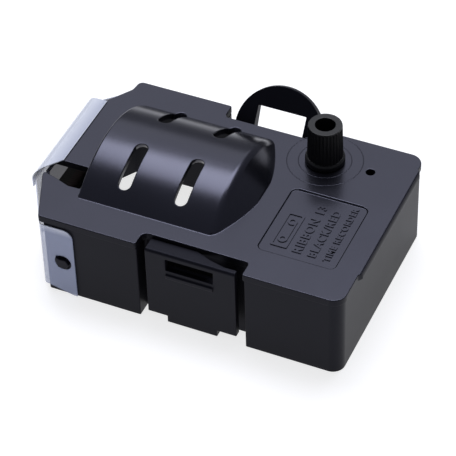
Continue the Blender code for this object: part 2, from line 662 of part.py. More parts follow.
def pinch_arm():
    """A yoke with a plate below and above the roller, and a hub around the pivot."""
    hub_radius = 1.8
    plates = ((ROLLER_Z[0] - 0.6, ROLLER_Z[0] + 0.6), (ROLLER_Z[1] - 0.6, ROLLER_Z[1] + 0.6))
    pivot, axle = Vector(ARM_PIVOT), Vector(PINCH_AXIS)
    along = (axle - pivot).normalized()
    across = Vector((-along.y, along.x))
    hub = prism(circle(*ARM_PIVOT, hub_radius, 24), plates[0][0], plates[1][1])
    arm = add_piece("pinch_arm", hub, "guide_white", (*ARM_PIVOT, 0))
    for low, high in plates:
        outline = rounded([
            (*(pivot - across * hub_radius), 0), (*(pivot + across * hub_radius), 0),
            (*(axle + across * 1.9 + along * 1.9), 1.2), (*(axle - across * 1.9 + along * 1.9), 1.2),
        ][::-1])
        shape(arm, "UNION", prism(outline, low, high))
    for axis in (ARM_PIVOT, PINCH_AXIS):
        shape(arm, "DIFFERENCE", prism(circle(*axis, PIN_RADIUS + PIN_CLEARANCE, 16), 0, DECK_Z))


def pins():
    for name, axis, z_low in (("pinch_axle", PINCH_AXIS, 2.1), ("arm_pivot_pin", ARM_PIVOT, FLOOR + 0.8)):
        pin = prism(circle(*axis, PIN_RADIUS, 16), z_low, COVER_UNDER_Z - GAP - 0.4)
        add_piece(name, pin, "steel", (*axis, 0))
    for name, axis in GUIDES.items():
        pin = prism(circle(*axis, PIN_RADIUS - 0.2, 14), FLOOR + 0.6, COVER_UNDER_Z - GAP)
        add_piece(name.replace("roller", "pin"), pin, "steel", (*axis, 0))


def guide_rollers():
    for name, (x, y) in GUIDES.items():
        sleeve = tube(x, y, *ROLLER_Z, GUIDE_RADIUS, PIN_RADIUS, 20)
        add_piece(name, sleeve, "guide_white", (x, y, 0))


def pinch_spring():
    """A torsion spring round the arm's hub, with one leg on the cavity wall."""
    wire, coil, pitch = 0.25, 2.35, 0.8
    turns, steps = 3.5, 18
    z_low = 9.0
    curve = bpy.data.curves.new("pinch_spring", "CURVE")
    curve.dimensions = "3D"
    curve.bevel_depth = wire * MM
    curve.bevel_resolution = 1
    curve.use_fill_caps = True
    route = []
    for i in range(int(turns * steps) + 1):
        angle = math.tau * i / steps + math.pi / 2
        route.append((coil * math.cos(angle), coil * math.sin(angle), z_low + pitch * i / steps))
    last = Vector(route[-1])
    route = [(3.2, coil, z_low)] + route + [tuple(last + Vector((2.6, 0, 0)))]
    spline = curve.splines.new("POLY")
    spline.points.add(len(route) - 1)
    for point, co in zip(spline.points, route):
        point.co = (*(Vector(co) * MM), 1.0)
    spring = bpy.data.objects.new("pinch_spring", curve)
    spring.location = place(*ARM_PIVOT, 0)
    bpy.context.scene.collection.objects.link(spring)
    curve.materials.append(look("steel"))


def brake():
    """A felt pad that a leaf spring presses on the ribbon as it leaves the pack."""
    ribbon_y = ribbon_path()[0].y + RIBBON_THICKNESS / 2 + GAP
    add_piece("brake_felt", box(FELT_X, (ribbon_y, ribbon_y + FELT_THICKNESS), RIBBON_Z), "felt")
    back = ribbon_y + FELT_THICKNESS + GAP + 0.2
    path = [(x, back + bow) for x, bow in BRAKE_LEAF]
    add_piece("brake_spring", band(path, 0.35, RIBBON_Z[0] + 2, RIBBON_Z[1] - 2), "steel")


def anti_reverse_pawl():
    """A short lever whose tip rides on the drive roller's teeth."""
    pivot = Vector(PAWL_PIVOT)
    wheel = Vector(DRIVE_AXIS)
    tip = wheel + Vector((1, 0.12)).normalized() * (DRIVE_RADIUS + GAP + 0.1)
    outline = [
        pivot + Vector((0.2, -1.5)), tip + Vector((1.6, -0.9)), tip, tip + Vector((0.9, 0.9)),
        pivot + Vector((-1.2, 0.9)),
    ]
    pawl = add_piece("anti_reverse_pawl", prism(outline, 12.0, 16.0), "guide_white", (*PAWL_PIVOT, 0))
    shape(pawl, "UNION", prism(circle(*PAWL_PIVOT, 1.8, 20), FLOOR + 1.0, COVER_UNDER_Z - 1))
    shape(pawl, "DIFFERENCE", prism(circle(*PAWL_PIVOT, PIN_RADIUS + PIN_CLEARANCE, 16), 0, DECK_Z))
    pin = prism(circle(*PAWL_PIVOT, PIN_RADIUS, 16), FLOOR + 0.8, COVER_UNDER_Z - GAP)
    add_piece("pawl_pin", pin, "steel", (*PAWL_PIVOT, 0))


def main():
    clear_scene()
    base_case()
    top_cover()
    front_clip()
    rear_clip_loop()
    ribbon_guard_film()
    ribbon_pieces()
    feed_knob()
    drive_train()
    pinch_arm()
    pins()
    guide_rollers()
    pinch_spring()
    brake()
    anti_reverse_pawl()


main()
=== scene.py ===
"""Ink ribbon cassette for a time recorder: the moulded case, clips, knob, film and ribbon with their
finishes, and a plain stage.

Sizes in the functions are plan millimetres: x runs from the cover's front left corner towards the knob
end, y from the front edge towards the finger loop, and z up from the underside. place() turns them to
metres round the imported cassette.
"""

import json
import math

import bmesh
import bpy
from bpy.props import FloatProperty, FloatVectorProperty, IntProperty, PointerProperty, StringProperty
from mathutils import Matrix, Vector


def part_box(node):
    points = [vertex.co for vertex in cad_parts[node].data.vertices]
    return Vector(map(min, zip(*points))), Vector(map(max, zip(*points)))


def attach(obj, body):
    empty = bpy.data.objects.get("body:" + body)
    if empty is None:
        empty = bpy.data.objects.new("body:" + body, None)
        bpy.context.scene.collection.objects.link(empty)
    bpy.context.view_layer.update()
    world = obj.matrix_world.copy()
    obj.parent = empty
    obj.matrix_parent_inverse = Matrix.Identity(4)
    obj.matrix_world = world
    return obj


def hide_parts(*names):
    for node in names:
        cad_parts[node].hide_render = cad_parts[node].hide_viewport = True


bl_info = {
    "name": "Ribbon Cassette",
    "version": (1, 0, 0),
    "blender": (4, 5, 0),
    "location": "View3D > Sidebar > Cassette",
    "description": "Builds the visible pieces and finishes of an ink ribbon cassette",
    "category": "Object",
}

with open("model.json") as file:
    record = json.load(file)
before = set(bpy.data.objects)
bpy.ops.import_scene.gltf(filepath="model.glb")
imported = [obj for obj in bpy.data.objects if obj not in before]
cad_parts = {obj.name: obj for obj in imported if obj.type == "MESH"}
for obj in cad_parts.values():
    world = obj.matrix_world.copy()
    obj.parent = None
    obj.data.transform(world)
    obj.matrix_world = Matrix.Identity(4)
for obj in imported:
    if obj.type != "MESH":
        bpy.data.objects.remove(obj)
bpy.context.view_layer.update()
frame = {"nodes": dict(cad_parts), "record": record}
MM = 0.001

# Places that the frame gives
COVER_LOW, COVER_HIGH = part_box("top_cover")
WALL_TOP_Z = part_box("base_case")[1].z / MM
FILM_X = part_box("ribbon_guard_film")[0].x
KNOB_Z = tuple(corner.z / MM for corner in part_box("feed_knob"))
NOSE_REACH = 6.0
END_FLANGE = 0.8
ORIGIN = Vector((COVER_LOW.x + NOSE_REACH * MM, COVER_LOW.y, 0.0))

LENGTH = (COVER_HIGH.x - ORIGIN.x) / MM - END_FLANGE
DEPTH = (COVER_HIGH.y - COVER_LOW.y) / MM
COVER_UNDER_Z = COVER_LOW.z / MM
COVER_THICKNESS = 2.0
DECK_Z = COVER_UNDER_Z + COVER_THICKNESS
GAP = COVER_UNDER_Z - WALL_TOP_Z

END_FLANGE_Y = (10.8, 50.8)
END_FLANGE_DROP = 1.6        # height of the flange's rounding
END_RADIUS = 3.5
OVERHANG = 0.3
WALL = 1.5
FLOOR = 1.5
SEAM_LIFT = GAP - 0.06       # the walls close the seam under the cover to a hairline
FRONT_NOTCH_X = (26.4, 54.4)
REAR_NOTCH_X = (27.2, 54.8)
NOTCH_DEPTH = 4.5
NOTCH_WALL = 1.0
NOSE_Y = (14.0, 42.4)
NOSE_NOTCH = (
    (-NOSE_REACH - 2, 15.6), (-2.5, 14.2, 0.5), (1.9, 12.6, 1.0), (5.2, 12.7, 0.4), (5.2, 20.5, 0.4),
    (-NOSE_REACH - 2, 20.5),
)
NOSE_LIP_X = (-6.9, -5.9)
NOSE_LIP_Y = (17.2, 39.2)
NOSE_LIP_Z = 16.2
NOSE_OPENING = (3.2, -2.4, 12.9)     # x of its two corners, and the inner one's y
NOSE_UPSTAND = ((-5.6, -4.9), (19.5, 36.5), 6.8)     # x, y and height

ARCH_AXIS = (28.5, 4.7)      # y and z of the arch's axis
ARCH_X = (6.0, 42.5)
ARCH_WALL = 1.6
ARCH_CONE_DROP = 7.2
ARCH_CONE_RUN = 0.75
SLOT_SIZE = (3.4, 13.6)
SLOT_X = (16.7, 31.9)
SLOT_ANGLES = (-19.0, 31.5)

CAVITY_X = (2.4, 44.4)
CAVITY_Y = (8.0, 48.0)
CAVITY_WALL = 1.2
CAVITY_TIP_X = -4.2
CAVITY_TIP_HALF = 9.6

CLIP_X = (28.6, 52.4)
CLIP_THICKNESS = 1.8
CLIP_FRONT_Y = 0.3
CLIP_REAR_Y = DEPTH - 0.3
CLIP_BOTTOM_Z = 2.5
CLIP_TOP_Z = 23.5
CLIP_TOOTH_X = (33.8, 47.2)
CLIP_TOOTH_Z = 0.5
CLIP_WINDOW_X = (34.0, 46.6)
CLIP_WINDOW_Z = (18.2, 21.8)
CLIP_ROOT_THICKNESS = 1.2
LOOP_Z = 20.4
LOOP_LEAN = math.radians(27.0)
LOOP_THICKNESS = 1.4
LOOP_WINDOW_HALF = 6.6
LOOP_WINDOW_TOP = 5.7
LOOP_WINDOW_Z = 18.0
LOOP_RADIUS = (CLIP_X[1] - CLIP_X[0]) / 2
LOOP_CENTRE_X = (CLIP_X[0] + CLIP_X[1]) / 2
ROOT_GAP = 0.1

DRIVE_AXIS = (57.2, 45.6)
STEM_RADIUS = 3.0
SOCKET_RADIUS = 4.0
KNOB_FLANGE = (5.05, 1.2)    # radius and height
KNOB_GRIP = (4.62, 4.34)     # radius at the foot and at the tip
KNOB_TIP_RADIUS = 4.25
KNOB_BORE_DEPTH = 8.5
RIB_DEPTH = 0.26
GUIDES = ((2.9, 4.3), (-4.4, 15.4), (-4.4, 41.2), (2.9, 51.7))
GUIDE_RADIUS = 1.5
BRAKE_POST = (56.6, 11.6, 0.9)
BRAKE_POST_TOP_Z = 18.0
ARM_PIVOT = (48.6, 30.5)
PAWL_PIVOT = (67.5, 49.6)
PIVOT_POST_RADIUS = 1.8

LABEL_X = (53.9, 74.0)
LABEL_Y = (9.9, 33.0)
LABEL_CORNER = 1.5
LETTER_ROWS = ((64.4, 2.85), (68.2, 2.6), (71.8, 2.05))     # each row's foot in x, and its size
LETTER_INDENT = 2.2
LETTER_STRETCH = 1.15        # on the letters' size and on their spacing
LETTER_BOLDNESS = 0.07
RIDGE_RADIUS = 0.35
PICTOGRAM_X = (56.2, 60.6)
PICTOGRAM_Y = (12.6, 24.8)
PICTOGRAM_LINE = 0.55
SPOOL_RADIUS = 1.25
SIGHT_HOLE = (69.3, 45.7, 1.1)
MOULD_RINGS = (6.7, 9.6)     # radii of the witness rings round the knob

FILM_THICKNESS = 0.4
FILM_HOLE = (5.9, 10.9, 2.3)
FILM_OUTER_X = (FILM_X - ORIGIN.x) / MM - FILM_THICKNESS
FILM_TOP_Z = 22.0
FILM_TAB_X = 9.1
FILM_TAB_CORNER = 2.5
FILM_FLANGE_X = -3.3
FILM_FLANGE_Y = (20.4, 44.7)
FILM_BEND = 2.6              # radius of the bend over the nose
FILM_WHITENING_AND_HIGHLIGHT_Z = (20.0, 23.2)  # painted highlight on the film over this height, with some stress-whitening where it bends
FILM_WHITENING_AND_HIGHLIGHT_X = -8.2


# ---------------------------------------------------------------- settings

def linear(hex_colour):
    """An sRGB hex colour as linear red, green and blue."""
    channels = [int(hex_colour[i:i + 2], 16) / 255 for i in (0, 2, 4)]
    return [c / 12.92 if c <= 0.04045 else ((c + 0.055) / 1.055) ** 2.4 for c in channels]


def colour_property(name, description, hex_colour):
    """A colour setting whose default is an sRGB hex colour."""
    return FloatVectorProperty(
        name=name, description=description, subtype="COLOR", min=0.0, max=1.0, default=linear(hex_colour)
    )


def length_property(name, description, millimetres):
    """A length setting in metres whose default is given in millimetres."""
    return FloatProperty(
        name=name, description=description, default=millimetres * MM, min=0.0, unit="LENGTH", precision=5
    )


class CassetteSizes(bpy.types.PropertyGroup):
    """Sizes of the rounding and of the small moulded detail."""

    arch_radius: length_property("Arch radius", "Outer radius of the print head arch", 27.5)
    shoulder: length_property("Arch shoulder", "Rounding between the arch and its cone", 1.3)
    rim: length_property("Arch rim", "Rounding of the arch's left rim", 0.7)
    edge: length_property("Edge rounding", "Rounding of the moulded edges", 0.22)
    fine_edge: length_property("Fine rounding", "Rounding of the thin clips' edges", 0.16)
    label_depth: length_property("Label depth", "Depth of the label panel", 0.3)
    ring_width: length_property("Witness ring", "Width of the mould's witness rings", 0.13)
    letter_height: length_property("Lettering", "How far the lettering stands up", 0.22)
    knob_ribs: IntProperty(name="Knob ribs", description="Ribs round the finger knob", default=30, min=8)
    knob_bore: length_property("Knob bore", "Radius of the hollow in the knob", 2.55)


class CassetteFinish(bpy.types.PropertyGroup):
    """Colours of the materials."""

    case: colour_property("Case", "Black polystyrene of the case", "101015")
    knob: colour_property("Knob", "Black acetal of the knob and drive", "0b0b0d")
    film: colour_property("Film", "Clear polyester film over the nose", "a4aecf")
    ribbon_top: colour_property("Ribbon, upper band", "Ink of the ribbon's upper half", "050507")
    ribbon_low: colour_property("Ribbon, lower band", "Ink of the ribbon's lower half", "100406")
    acetal: colour_property("White acetal", "Rollers, arm and pawl", "d9d8d2")
    steel: colour_property("Steel", "Pins and springs", "b9bbbf")
    felt: colour_property("Felt", "The brake pad", "8a8578")
    floor: colour_property("Floor", "Acrylic light table under the cassette", "b6b6b8")


class CassetteLabel(bpy.types.PropertyGroup):
    """Plain words on the label panel."""

    first: StringProperty(name="First line", description="First row of lettering", default="RIBBON 13")
    second: StringProperty(name="Second line", description="Second row of lettering", default="BLACK/RED")
    third: StringProperty(name="Third line", description="Third row of lettering", default="TIME RECORDER")


def sizes():
    """The scene's size settings."""
    return bpy.context.scene.cassette_sizes


def finish():
    """The scene's colour settings."""
    return bpy.context.scene.cassette_finish


# ---------------------------------------------------------------- modelling helpers

def place(x, y, z=0.0):
    """A plan point in millimetres, as metres in the part's frame."""
    return ORIGIN + Vector((x, y, z)) * MM


def only(piece):
    """Select one object alone and make it active."""
    bpy.ops.object.select_all(action="DESELECT")
    piece.select_set(True)
    bpy.context.view_layer.objects.active = piece


def fresh():
    """Select nothing, so that a new primitive stands alone."""
    bpy.ops.object.select_all(action="DESELECT")


def pick(piece, kind, test):
    """In edit mode, select only the verts, edges or faces that pass a test."""
    mesh = bmesh.from_edit_mesh(piece.data)
    for group in (mesh.faces, mesh.edges, mesh.verts):
        for item in group:
            item.select = False
    found = [item for item in getattr(mesh, kind) if test(item)]
    if not found:
        raise RuntimeError(f"{piece.name}: no {kind} to select")
    for item in found:
        item.select_set(True)
    bmesh.update_edit_mesh(piece.data)


def use_mode(kind):
    """Select by verts, edges or faces."""
    bpy.ops.mesh.select_mode(type={"verts": "VERT", "edges": "EDGE", "faces": "FACE"}[kind])


def face_out():
    """In edit mode, merge doubles and turn every face outwards."""
    bpy.ops.mesh.select_all(action="SELECT")
    bpy.ops.mesh.remove_doubles(threshold=0.000004)
    bpy.ops.mesh.normals_make_consistent(inside=False)


def raised(name, points, run):
    """A face over points in metres, drawn out along a run."""
    fresh()
    bpy.ops.mesh.primitive_circle_add(
        vertices=len(points), radius=MM, fill_type="NGON", location=(0, 0, 0)
    )
    piece = bpy.context.object
    piece.name = name
    for vert, point in zip(piece.data.vertices, points):
        vert.co = point
    bpy.ops.object.mode_set(mode="EDIT")
    bpy.ops.mesh.select_all(action="SELECT")
    bpy.ops.mesh.extrude_region_move(TRANSFORM_OT_translate={"value": run})
    bpy.ops.object.mode_set(mode="OBJECT")
    return piece


def plate(name, corners, z_low, z_high, step=8.0):
    """An upright slab over (x, y, radius) corners; each radius is a bevelled corner edge."""
    piece = raised(name, [place(*corner[:2], z_low) for corner in corners], (0, 0, (z_high - z_low) * MM))
    bpy.ops.object.mode_set(mode="EDIT")
    use_mode("edges")
    for index, corner in enumerate(corners):
        if len(corner) < 3 or not corner[2]:
            continue
        here = Vector(corner[:2])
        before = Vector(corners[index - 1][:2]) - here
        after = Vector(corners[(index + 1) % len(corners)][:2]) - here
        half = before.angle(after) / 2
        at = place(*corner[:2]).xy
        pick(piece, "edges", lambda e: all((v.co.xy - at).length < 0.00001 for v in e.verts))
        bpy.ops.mesh.bevel(
            offset=corner[2] / math.tan(half) * MM, offset_type="OFFSET", affect="EDGES",
            segments=max(2, round(math.degrees(math.pi - 2 * half) / step)),
        )
    face_out()
    bpy.ops.object.mode_set(mode="OBJECT")
    return piece


def round_corners(x, y, radius):
    """The corners of a rectangle in plan."""
    return [(x[0], y[0], radius), (x[1], y[0], radius), (x[1], y[1], radius), (x[0], y[1], radius)]


def drum(name, x, y, radius, z_low, z_high, sides=64):
    """An upright cylinder."""
    return rod(name, (x, y, (z_low + z_high) / 2), radius, z_high - z_low, "z", sides)


def rod(name, centre, radius, length, along, sides):
    """A cylinder along an axis round a plan point."""
    fresh()
    turns = {"x": (0, math.pi / 2, 0), "y": (math.pi / 2, 0, 0), "z": (0, 0, 0)}
    bpy.ops.mesh.primitive_cylinder_add(
        vertices=sides, radius=radius * MM, depth=length * MM, location=place(*centre), rotation=turns[along]
    )
    piece = bpy.context.object
    piece.name = name
    bpy.ops.object.transform_apply(location=True, rotation=True, scale=True)
    return piece


def bar(name, outline, low, high, along="x"):
    """A bar along x over (y, z) points, or along y over (x, z) points."""
    points = [place(low, side, z) if along == "x" else place(side, low, z) for side, z in outline]
    run = (high - low) * MM
    piece = raised(name, points, (run, 0, 0) if along == "x" else (0, run, 0))
    bpy.ops.object.mode_set(mode="EDIT")
    face_out()
    bpy.ops.object.mode_set(mode="OBJECT")
    return piece


def combine(piece, tool, operation="DIFFERENCE"):
    """Cut, unite or intersect a piece with a tool, which is used up."""
    only(piece)
    modifier = piece.modifiers.new("shape", "BOOLEAN")
    modifier.operation = operation
    modifier.object = tool
    modifier.solver = "EXACT"
    bpy.ops.object.modifier_apply(modifier=modifier.name)
    bpy.data.objects.remove(tool, do_unlink=True)
    if not piece.data.polygons:
        raise RuntimeError(f"{piece.name}: nothing is left after the cut")


def tilt(piece, angle, centre):
    """Turn a piece about an axis along x through a centre."""
    turn = Matrix.Translation(centre) @ Matrix.Rotation(angle, 4, "X") @ Matrix.Translation(-centre)
    only(piece)
    piece.matrix_world = turn @ piece.matrix_world
    bpy.ops.object.transform_apply(location=True, rotation=True, scale=True)


def soften(piece, width, segments=3, limit=32.0):
    """Round every edge sharper than the limit, and shade the flats flat."""
    only(piece)
    bpy.ops.object.mode_set(mode="EDIT")
    bpy.ops.mesh.select_all(action="SELECT")
    bpy.ops.mesh.remove_doubles(threshold=0.00002)
    bpy.ops.mesh.dissolve_degenerate(threshold=0.00001)
    bpy.ops.mesh.dissolve_limited(angle_limit=math.radians(0.5))
    bpy.ops.object.mode_set(mode="OBJECT")
    bevel = piece.modifiers.new("edge", "BEVEL")
    bevel.width = width
    bevel.segments = segments
    bevel.limit_method = "ANGLE"
    bevel.angle_limit = math.radians(limit)
    bevel.use_clamp_overlap = False
    bevel.miter_outer = "MITER_ARC"
    bpy.ops.object.modifier_apply(modifier=bevel.name)
    shade(piece)


def shade(piece, angle=38.0):
    """Shade smooth up to an angle, with the large faces keeping their own direction."""
    only(piece)
    bpy.ops.object.shade_smooth_by_angle(angle=math.radians(angle))
    weighted = piece.modifiers.new("flats", "WEIGHTED_NORMAL")
    weighted.keep_sharp = True
    bpy.ops.object.modifier_apply(modifier=weighted.name)


def settle(piece, body, slot_name, material, *nodes):
    """Give a finished piece its material, the body it rides on, and the nodes it stands for."""
    piece.data.materials.clear()
    piece.data.materials.append(material)
    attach(piece, body)
    if nodes:
        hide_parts(*nodes)
    return piece


# ---------------------------------------------------------------- materials

DRIFT = 14.0                 # distance between drifts of tone and gloss
THREAD = 0.35                # the ribbon's drawn thread
STREAK = (0.2, 0.2, 6.0)     # the steel's streaks in x, y and z


def add_node(tree, kind, links=(), **values):
    """Add a node; values set its inputs or properties, and links are (input, node, output)."""
    node = tree.nodes.new(kind)
    for name, value in values.items():
        socket = name.replace("_", " ")
        match = next((s for s in node.inputs if s.name.lower() == socket and s.enabled), None)
        if match:
            match.default_value = value
        else:
            setattr(node, name, value)
    for target, source, output in links:
        tree.links.new(source.outputs[output], node.inputs[target])
    return node


def new_material(name, colour, roughness, metallic=0.0, ior=1.5, specular=0.5, alpha=1.0):
    """A Principled material with its uniform values set on the shader."""
    material = bpy.data.materials.new(name)
    material.use_nodes = True
    shader = material.node_tree.nodes["Principled BSDF"]
    shader.inputs["Base Color"].default_value = (*colour, 1.0)
    shader.inputs["Roughness"].default_value = roughness
    shader.inputs["Metallic"].default_value = metallic
    shader.inputs["Specular IOR Level"].default_value = specular
    shader.inputs["Alpha"].default_value = alpha
    if not metallic:
        shader.inputs["IOR"].default_value = ior
    return material, material.node_tree, shader


def grain(tree, shader, size_mm, colour, roughness, depth_mm, tint=0.12, spread=0.06):
    """A moulded surface: fine grain in the height, and slow drifts of tone and gloss."""
    where = add_node(tree, "ShaderNodeTexCoord")
    at = [("Vector", where, "Object")]
    fine = add_node(tree, "ShaderNodeTexNoise", at, scale=1 / (size_mm * MM), detail=3.0, roughness=0.55)
    slow = add_node(tree, "ShaderNodeTexNoise", at, scale=1 / (DRIFT * MM), detail=4.0, roughness=0.6)
    tone = add_node(tree, "ShaderNodeValToRGB", [("Fac", slow, "Fac")])
    tone.color_ramp.elements[0].position = 0.32
    tone.color_ramp.elements[1].position = 0.7
    tone.color_ramp.elements[0].color = (*[c * (1 - tint) for c in colour], 1.0)
    tone.color_ramp.elements[1].color = (*[min(1.0, c * (1 + tint)) for c in colour], 1.0)
    tree.links.new(tone.outputs["Color"], shader.inputs["Base Color"])
    dull, shiny = roughness + spread, roughness - spread
    gloss = add_node(tree, "ShaderNodeMapRange", [("Value", slow, "Fac")], to_min=shiny, to_max=dull)
    tree.links.new(gloss.outputs["Result"], shader.inputs["Roughness"])
    height = [("Height", fine, "Fac")]
    bump = add_node(tree, "ShaderNodeBump", height, strength=0.35, distance=depth_mm * MM)
    tree.links.new(bump.outputs["Normal"], shader.inputs["Normal"])


def moulded_polystyrene(name, specular, roughness):
    """High-impact polystyrene, injection moulded in a satin tool: deep blue-black with a soft sheen."""
    if name in bpy.data.materials:
        return bpy.data.materials[name]
    colour = list(finish().case)
    material, tree, shader = new_material(name, colour, roughness, ior=1.59, specular=specular)
    # Painted reflection: the sheen is tinted blue, standing in for a bluish sky mirrored in the plastic
    shader.inputs["Specular Tint"].default_value = (0.76, 0.77, 1.0, 1.0)
    grain(tree, shader, 0.35, colour, roughness, 0.012, spread=0.03)
    return material


def cover_plastic():
    """The cover, with the tool's satin sheen."""
    return moulded_polystyrene("satin_polystyrene_cover", 0.55, 0.25)


def shaded_base_plastic():
    """The box part, in the cover's plastic made rougher and with its reflection turned down, a painted shade
    that keeps the upright walls from mirroring the bright floor.
    """
    return moulded_polystyrene("dull_polystyrene_base", 0.1, 0.42)


def knob_plastic():
    """Black acetal: a waxy, duller surface than the case, as turned by fingers."""
    if "black_acetal" in bpy.data.materials:
        return bpy.data.materials["black_acetal"]
    colour = list(finish().knob)
    material, tree, shader = new_material("black_acetal", colour, 0.45, ior=1.48, specular=0.4)
    grain(tree, shader, 0.3, colour, 0.45, 0.01)
    return material


def white_acetal():
    """Natural acetal, moulded: milky and a little waxy."""
    if "natural_acetal" in bpy.data.materials:
        return bpy.data.materials["natural_acetal"]
    colour = list(finish().acetal)
    material, tree, shader = new_material("natural_acetal", colour, 0.4, ior=1.48)
    shader.inputs["Subsurface Weight"].default_value = 0.15
    shader.inputs["Subsurface Radius"].default_value = (0.0012, 0.0011, 0.001)
    grain(tree, shader, 0.4, colour, 0.4, 0.01, tint=0.03)
    return material


def drawn_steel():
    """Drawn stainless wire and rod: fine streaks along z."""
    if "drawn_stainless" in bpy.data.materials:
        return bpy.data.materials["drawn_stainless"]
    material, tree, shader = new_material("drawn_stainless", finish().steel, 0.28, metallic=1.0)
    where = add_node(tree, "ShaderNodeTexCoord")
    scale = tuple(1 / (size * MM) for size in STREAK)
    stretch = add_node(tree, "ShaderNodeMapping", [("Vector", where, "Object")], scale=scale)
    streaks = add_node(tree, "ShaderNodeTexNoise", [("Vector", stretch, "Vector")], scale=1.0, detail=3.0)
    gloss = add_node(tree, "ShaderNodeMapRange", [("Value", streaks, "Fac")], to_min=0.2, to_max=0.38)
    tree.links.new(gloss.outputs["Result"], shader.inputs["Roughness"])
    bump = add_node(tree, "ShaderNodeBump", [("Height", streaks, "Fac")], strength=0.2, distance=0.01 * MM)
    tree.links.new(bump.outputs["Normal"], shader.inputs["Normal"])
    return material


def wool_felt():
    """Pressed wool felt: matted fibres about 0.3 mm apart."""
    if "pressed_felt" in bpy.data.materials:
        return bpy.data.materials["pressed_felt"]
    colour = list(finish().felt)
    material, tree, shader = new_material("pressed_felt", colour, 0.95, specular=0.1)
    grain(tree, shader, 0.3, colour, 0.93, 0.15, tint=0.25, spread=0.03)
    shader.inputs["Sheen Weight"].default_value = 0.4
    return material


def inked_nylon():
    """Inked nylon ribbon: a plain weave, black above and red below, its threads drawn coarse to show."""
    if "inked_nylon" in bpy.data.materials:
        return bpy.data.materials["inked_nylon"]
    material, tree, shader = new_material("inked_nylon", finish().ribbon_top, 0.8, specular=0.08)
    where = add_node(tree, "ShaderNodeTexCoord")
    parts = add_node(tree, "ShaderNodeSeparateXYZ", [("Vector", where, "Object")])
    middle = sum(corner.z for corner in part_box("ribbon_loop")) / 2
    band = add_node(tree, "ShaderNodeMapRange", [("Value", parts, "Z")], from_min=middle - 0.3 * MM,
                    from_max=middle + 0.3 * MM)
    ink = add_node(tree, "ShaderNodeMix", [("Factor", band, "Result")], data_type="RGBA")
    ink.inputs[6].default_value = (*finish().ribbon_low, 1.0)
    ink.inputs[7].default_value = (*finish().ribbon_top, 1.0)
    tree.links.new(ink.outputs[2], shader.inputs["Base Color"])
    weft, warp = (
        add_node(tree, "ShaderNodeTexWave", [("Vector", where, "Object")], bands_direction=direction,
                 scale=1 / (THREAD * MM) / 20 * math.tau, distortion=0.5)
        for direction in ("Z", "DIAGONAL")
    )
    cloth = add_node(tree, "ShaderNodeMath", [(0, weft, "Fac"), (1, warp, "Fac")], operation="ADD")
    bump = add_node(tree, "ShaderNodeBump", [("Height", cloth, "Value")], strength=0.5, distance=0.05 * MM)
    tree.links.new(bump.outputs["Normal"], shader.inputs["Normal"])
    return material


def polyester_film():
    """Clear polyester film: milky blue on black, whiter and less clear high on the nose flange, partly
    stress-whitening at the bend and partly a painted highlight along the flange's inner edge and outer fold.
    """
    if "clear_polyester" in bpy.data.materials:
        return bpy.data.materials["clear_polyester"]
    colour = list(finish().film)
    material, tree, shader = new_material("clear_polyester", colour, 0.12, ior=1.6, specular=0.7, alpha=0.5)
    grain(tree, shader, 1.6, colour, 0.13, 0.02, tint=0.05, spread=0.04)
    # Painted highlight: over the flange the film turns white and nearly opaque, most at its inner edge and
    # towards the outer fold, fading down the outer face; only at the fold is it partly stress-whitening
    where = add_node(tree, "ShaderNodeTexCoord")
    axes = add_node(tree, "ShaderNodeSeparateXYZ", [("Vector", where, "Object")])
    up = add_node(tree, "ShaderNodeMapRange", [("Value", axes, "Z")],
                  from_min=FILM_WHITENING_AND_HIGHLIGHT_Z[0] * MM, from_max=FILM_WHITENING_AND_HIGHLIGHT_Z[1] * MM)
    out = add_node(tree, "ShaderNodeMapRange", [("Value", axes, "X")],
                   from_min=place(FILM_FLANGE_X, 0).x, from_max=place(FILM_WHITENING_AND_HIGHLIGHT_X, 0).x)
    across = add_node(tree, "ShaderNodeValToRGB", [("Fac", out, "Result")])
    across.color_ramp.elements[0].color = (0.9, 0.9, 0.9, 1.0)
    across.color_ramp.elements.new(0.05).color = (0.5, 0.5, 0.5, 1.0)
    bend = add_node(tree, "ShaderNodeMath", [(0, up, 0), (1, across, "Color")], operation="MULTIPLY")
    milky = shader.inputs["Base Color"].links[0].from_node
    whitened_and_highlit = add_node(tree, "ShaderNodeMix", [(0, bend, 0), (6, milky, "Color")], data_type="RGBA")
    whitened_and_highlit.inputs[7].default_value = (*linear("f2f5fb"), 1.0)
    tree.links.new(whitened_and_highlit.outputs[2], shader.inputs["Base Color"])
    whitening_and_highlight_opacity = add_node(tree, "ShaderNodeMapRange", [("Value", bend, 0)], to_min=0.5, to_max=0.97)
    tree.links.new(whitening_and_highlight_opacity.outputs["Result"], shader.inputs["Alpha"])
    return material


# ---------------------------------------------------------------- case

def cover_corners():
    """The cover's plan."""
    front, rear = FRONT_NOTCH_X, REAR_NOTCH_X
    rear_y = DEPTH - NOTCH_DEPTH
    return [
        (0, 0, 0.6),
        (front[0], 0, 0.5), (front[0], NOTCH_DEPTH, 1.7), (front[1], NOTCH_DEPTH, 1.0), (front[1], 0, 0.5),
        (LENGTH, 0, END_RADIUS),
        (LENGTH, END_FLANGE_Y[0] - 0.4, 0.6), (LENGTH + END_FLANGE, END_FLANGE_Y[0] + 0.8, 0.6),
        (LENGTH + END_FLANGE, END_FLANGE_Y[1] - 0.8, 0.6), (LENGTH, END_FLANGE_Y[1] + 0.4, 0.6),
        (LENGTH, DEPTH, END_RADIUS),
        (rear[1], DEPTH, 0.5), (rear[1], rear_y, 1.0), (rear[0], rear_y, 1.0), (rear[0], DEPTH, 0.5),
        (1.0, DEPTH, 1.5), (0.6, 52.4, 2.0),
        (-NOSE_REACH, NOSE_Y[1], 2.0), (-NOSE_REACH, NOSE_Y[0], 2.0),
    ]


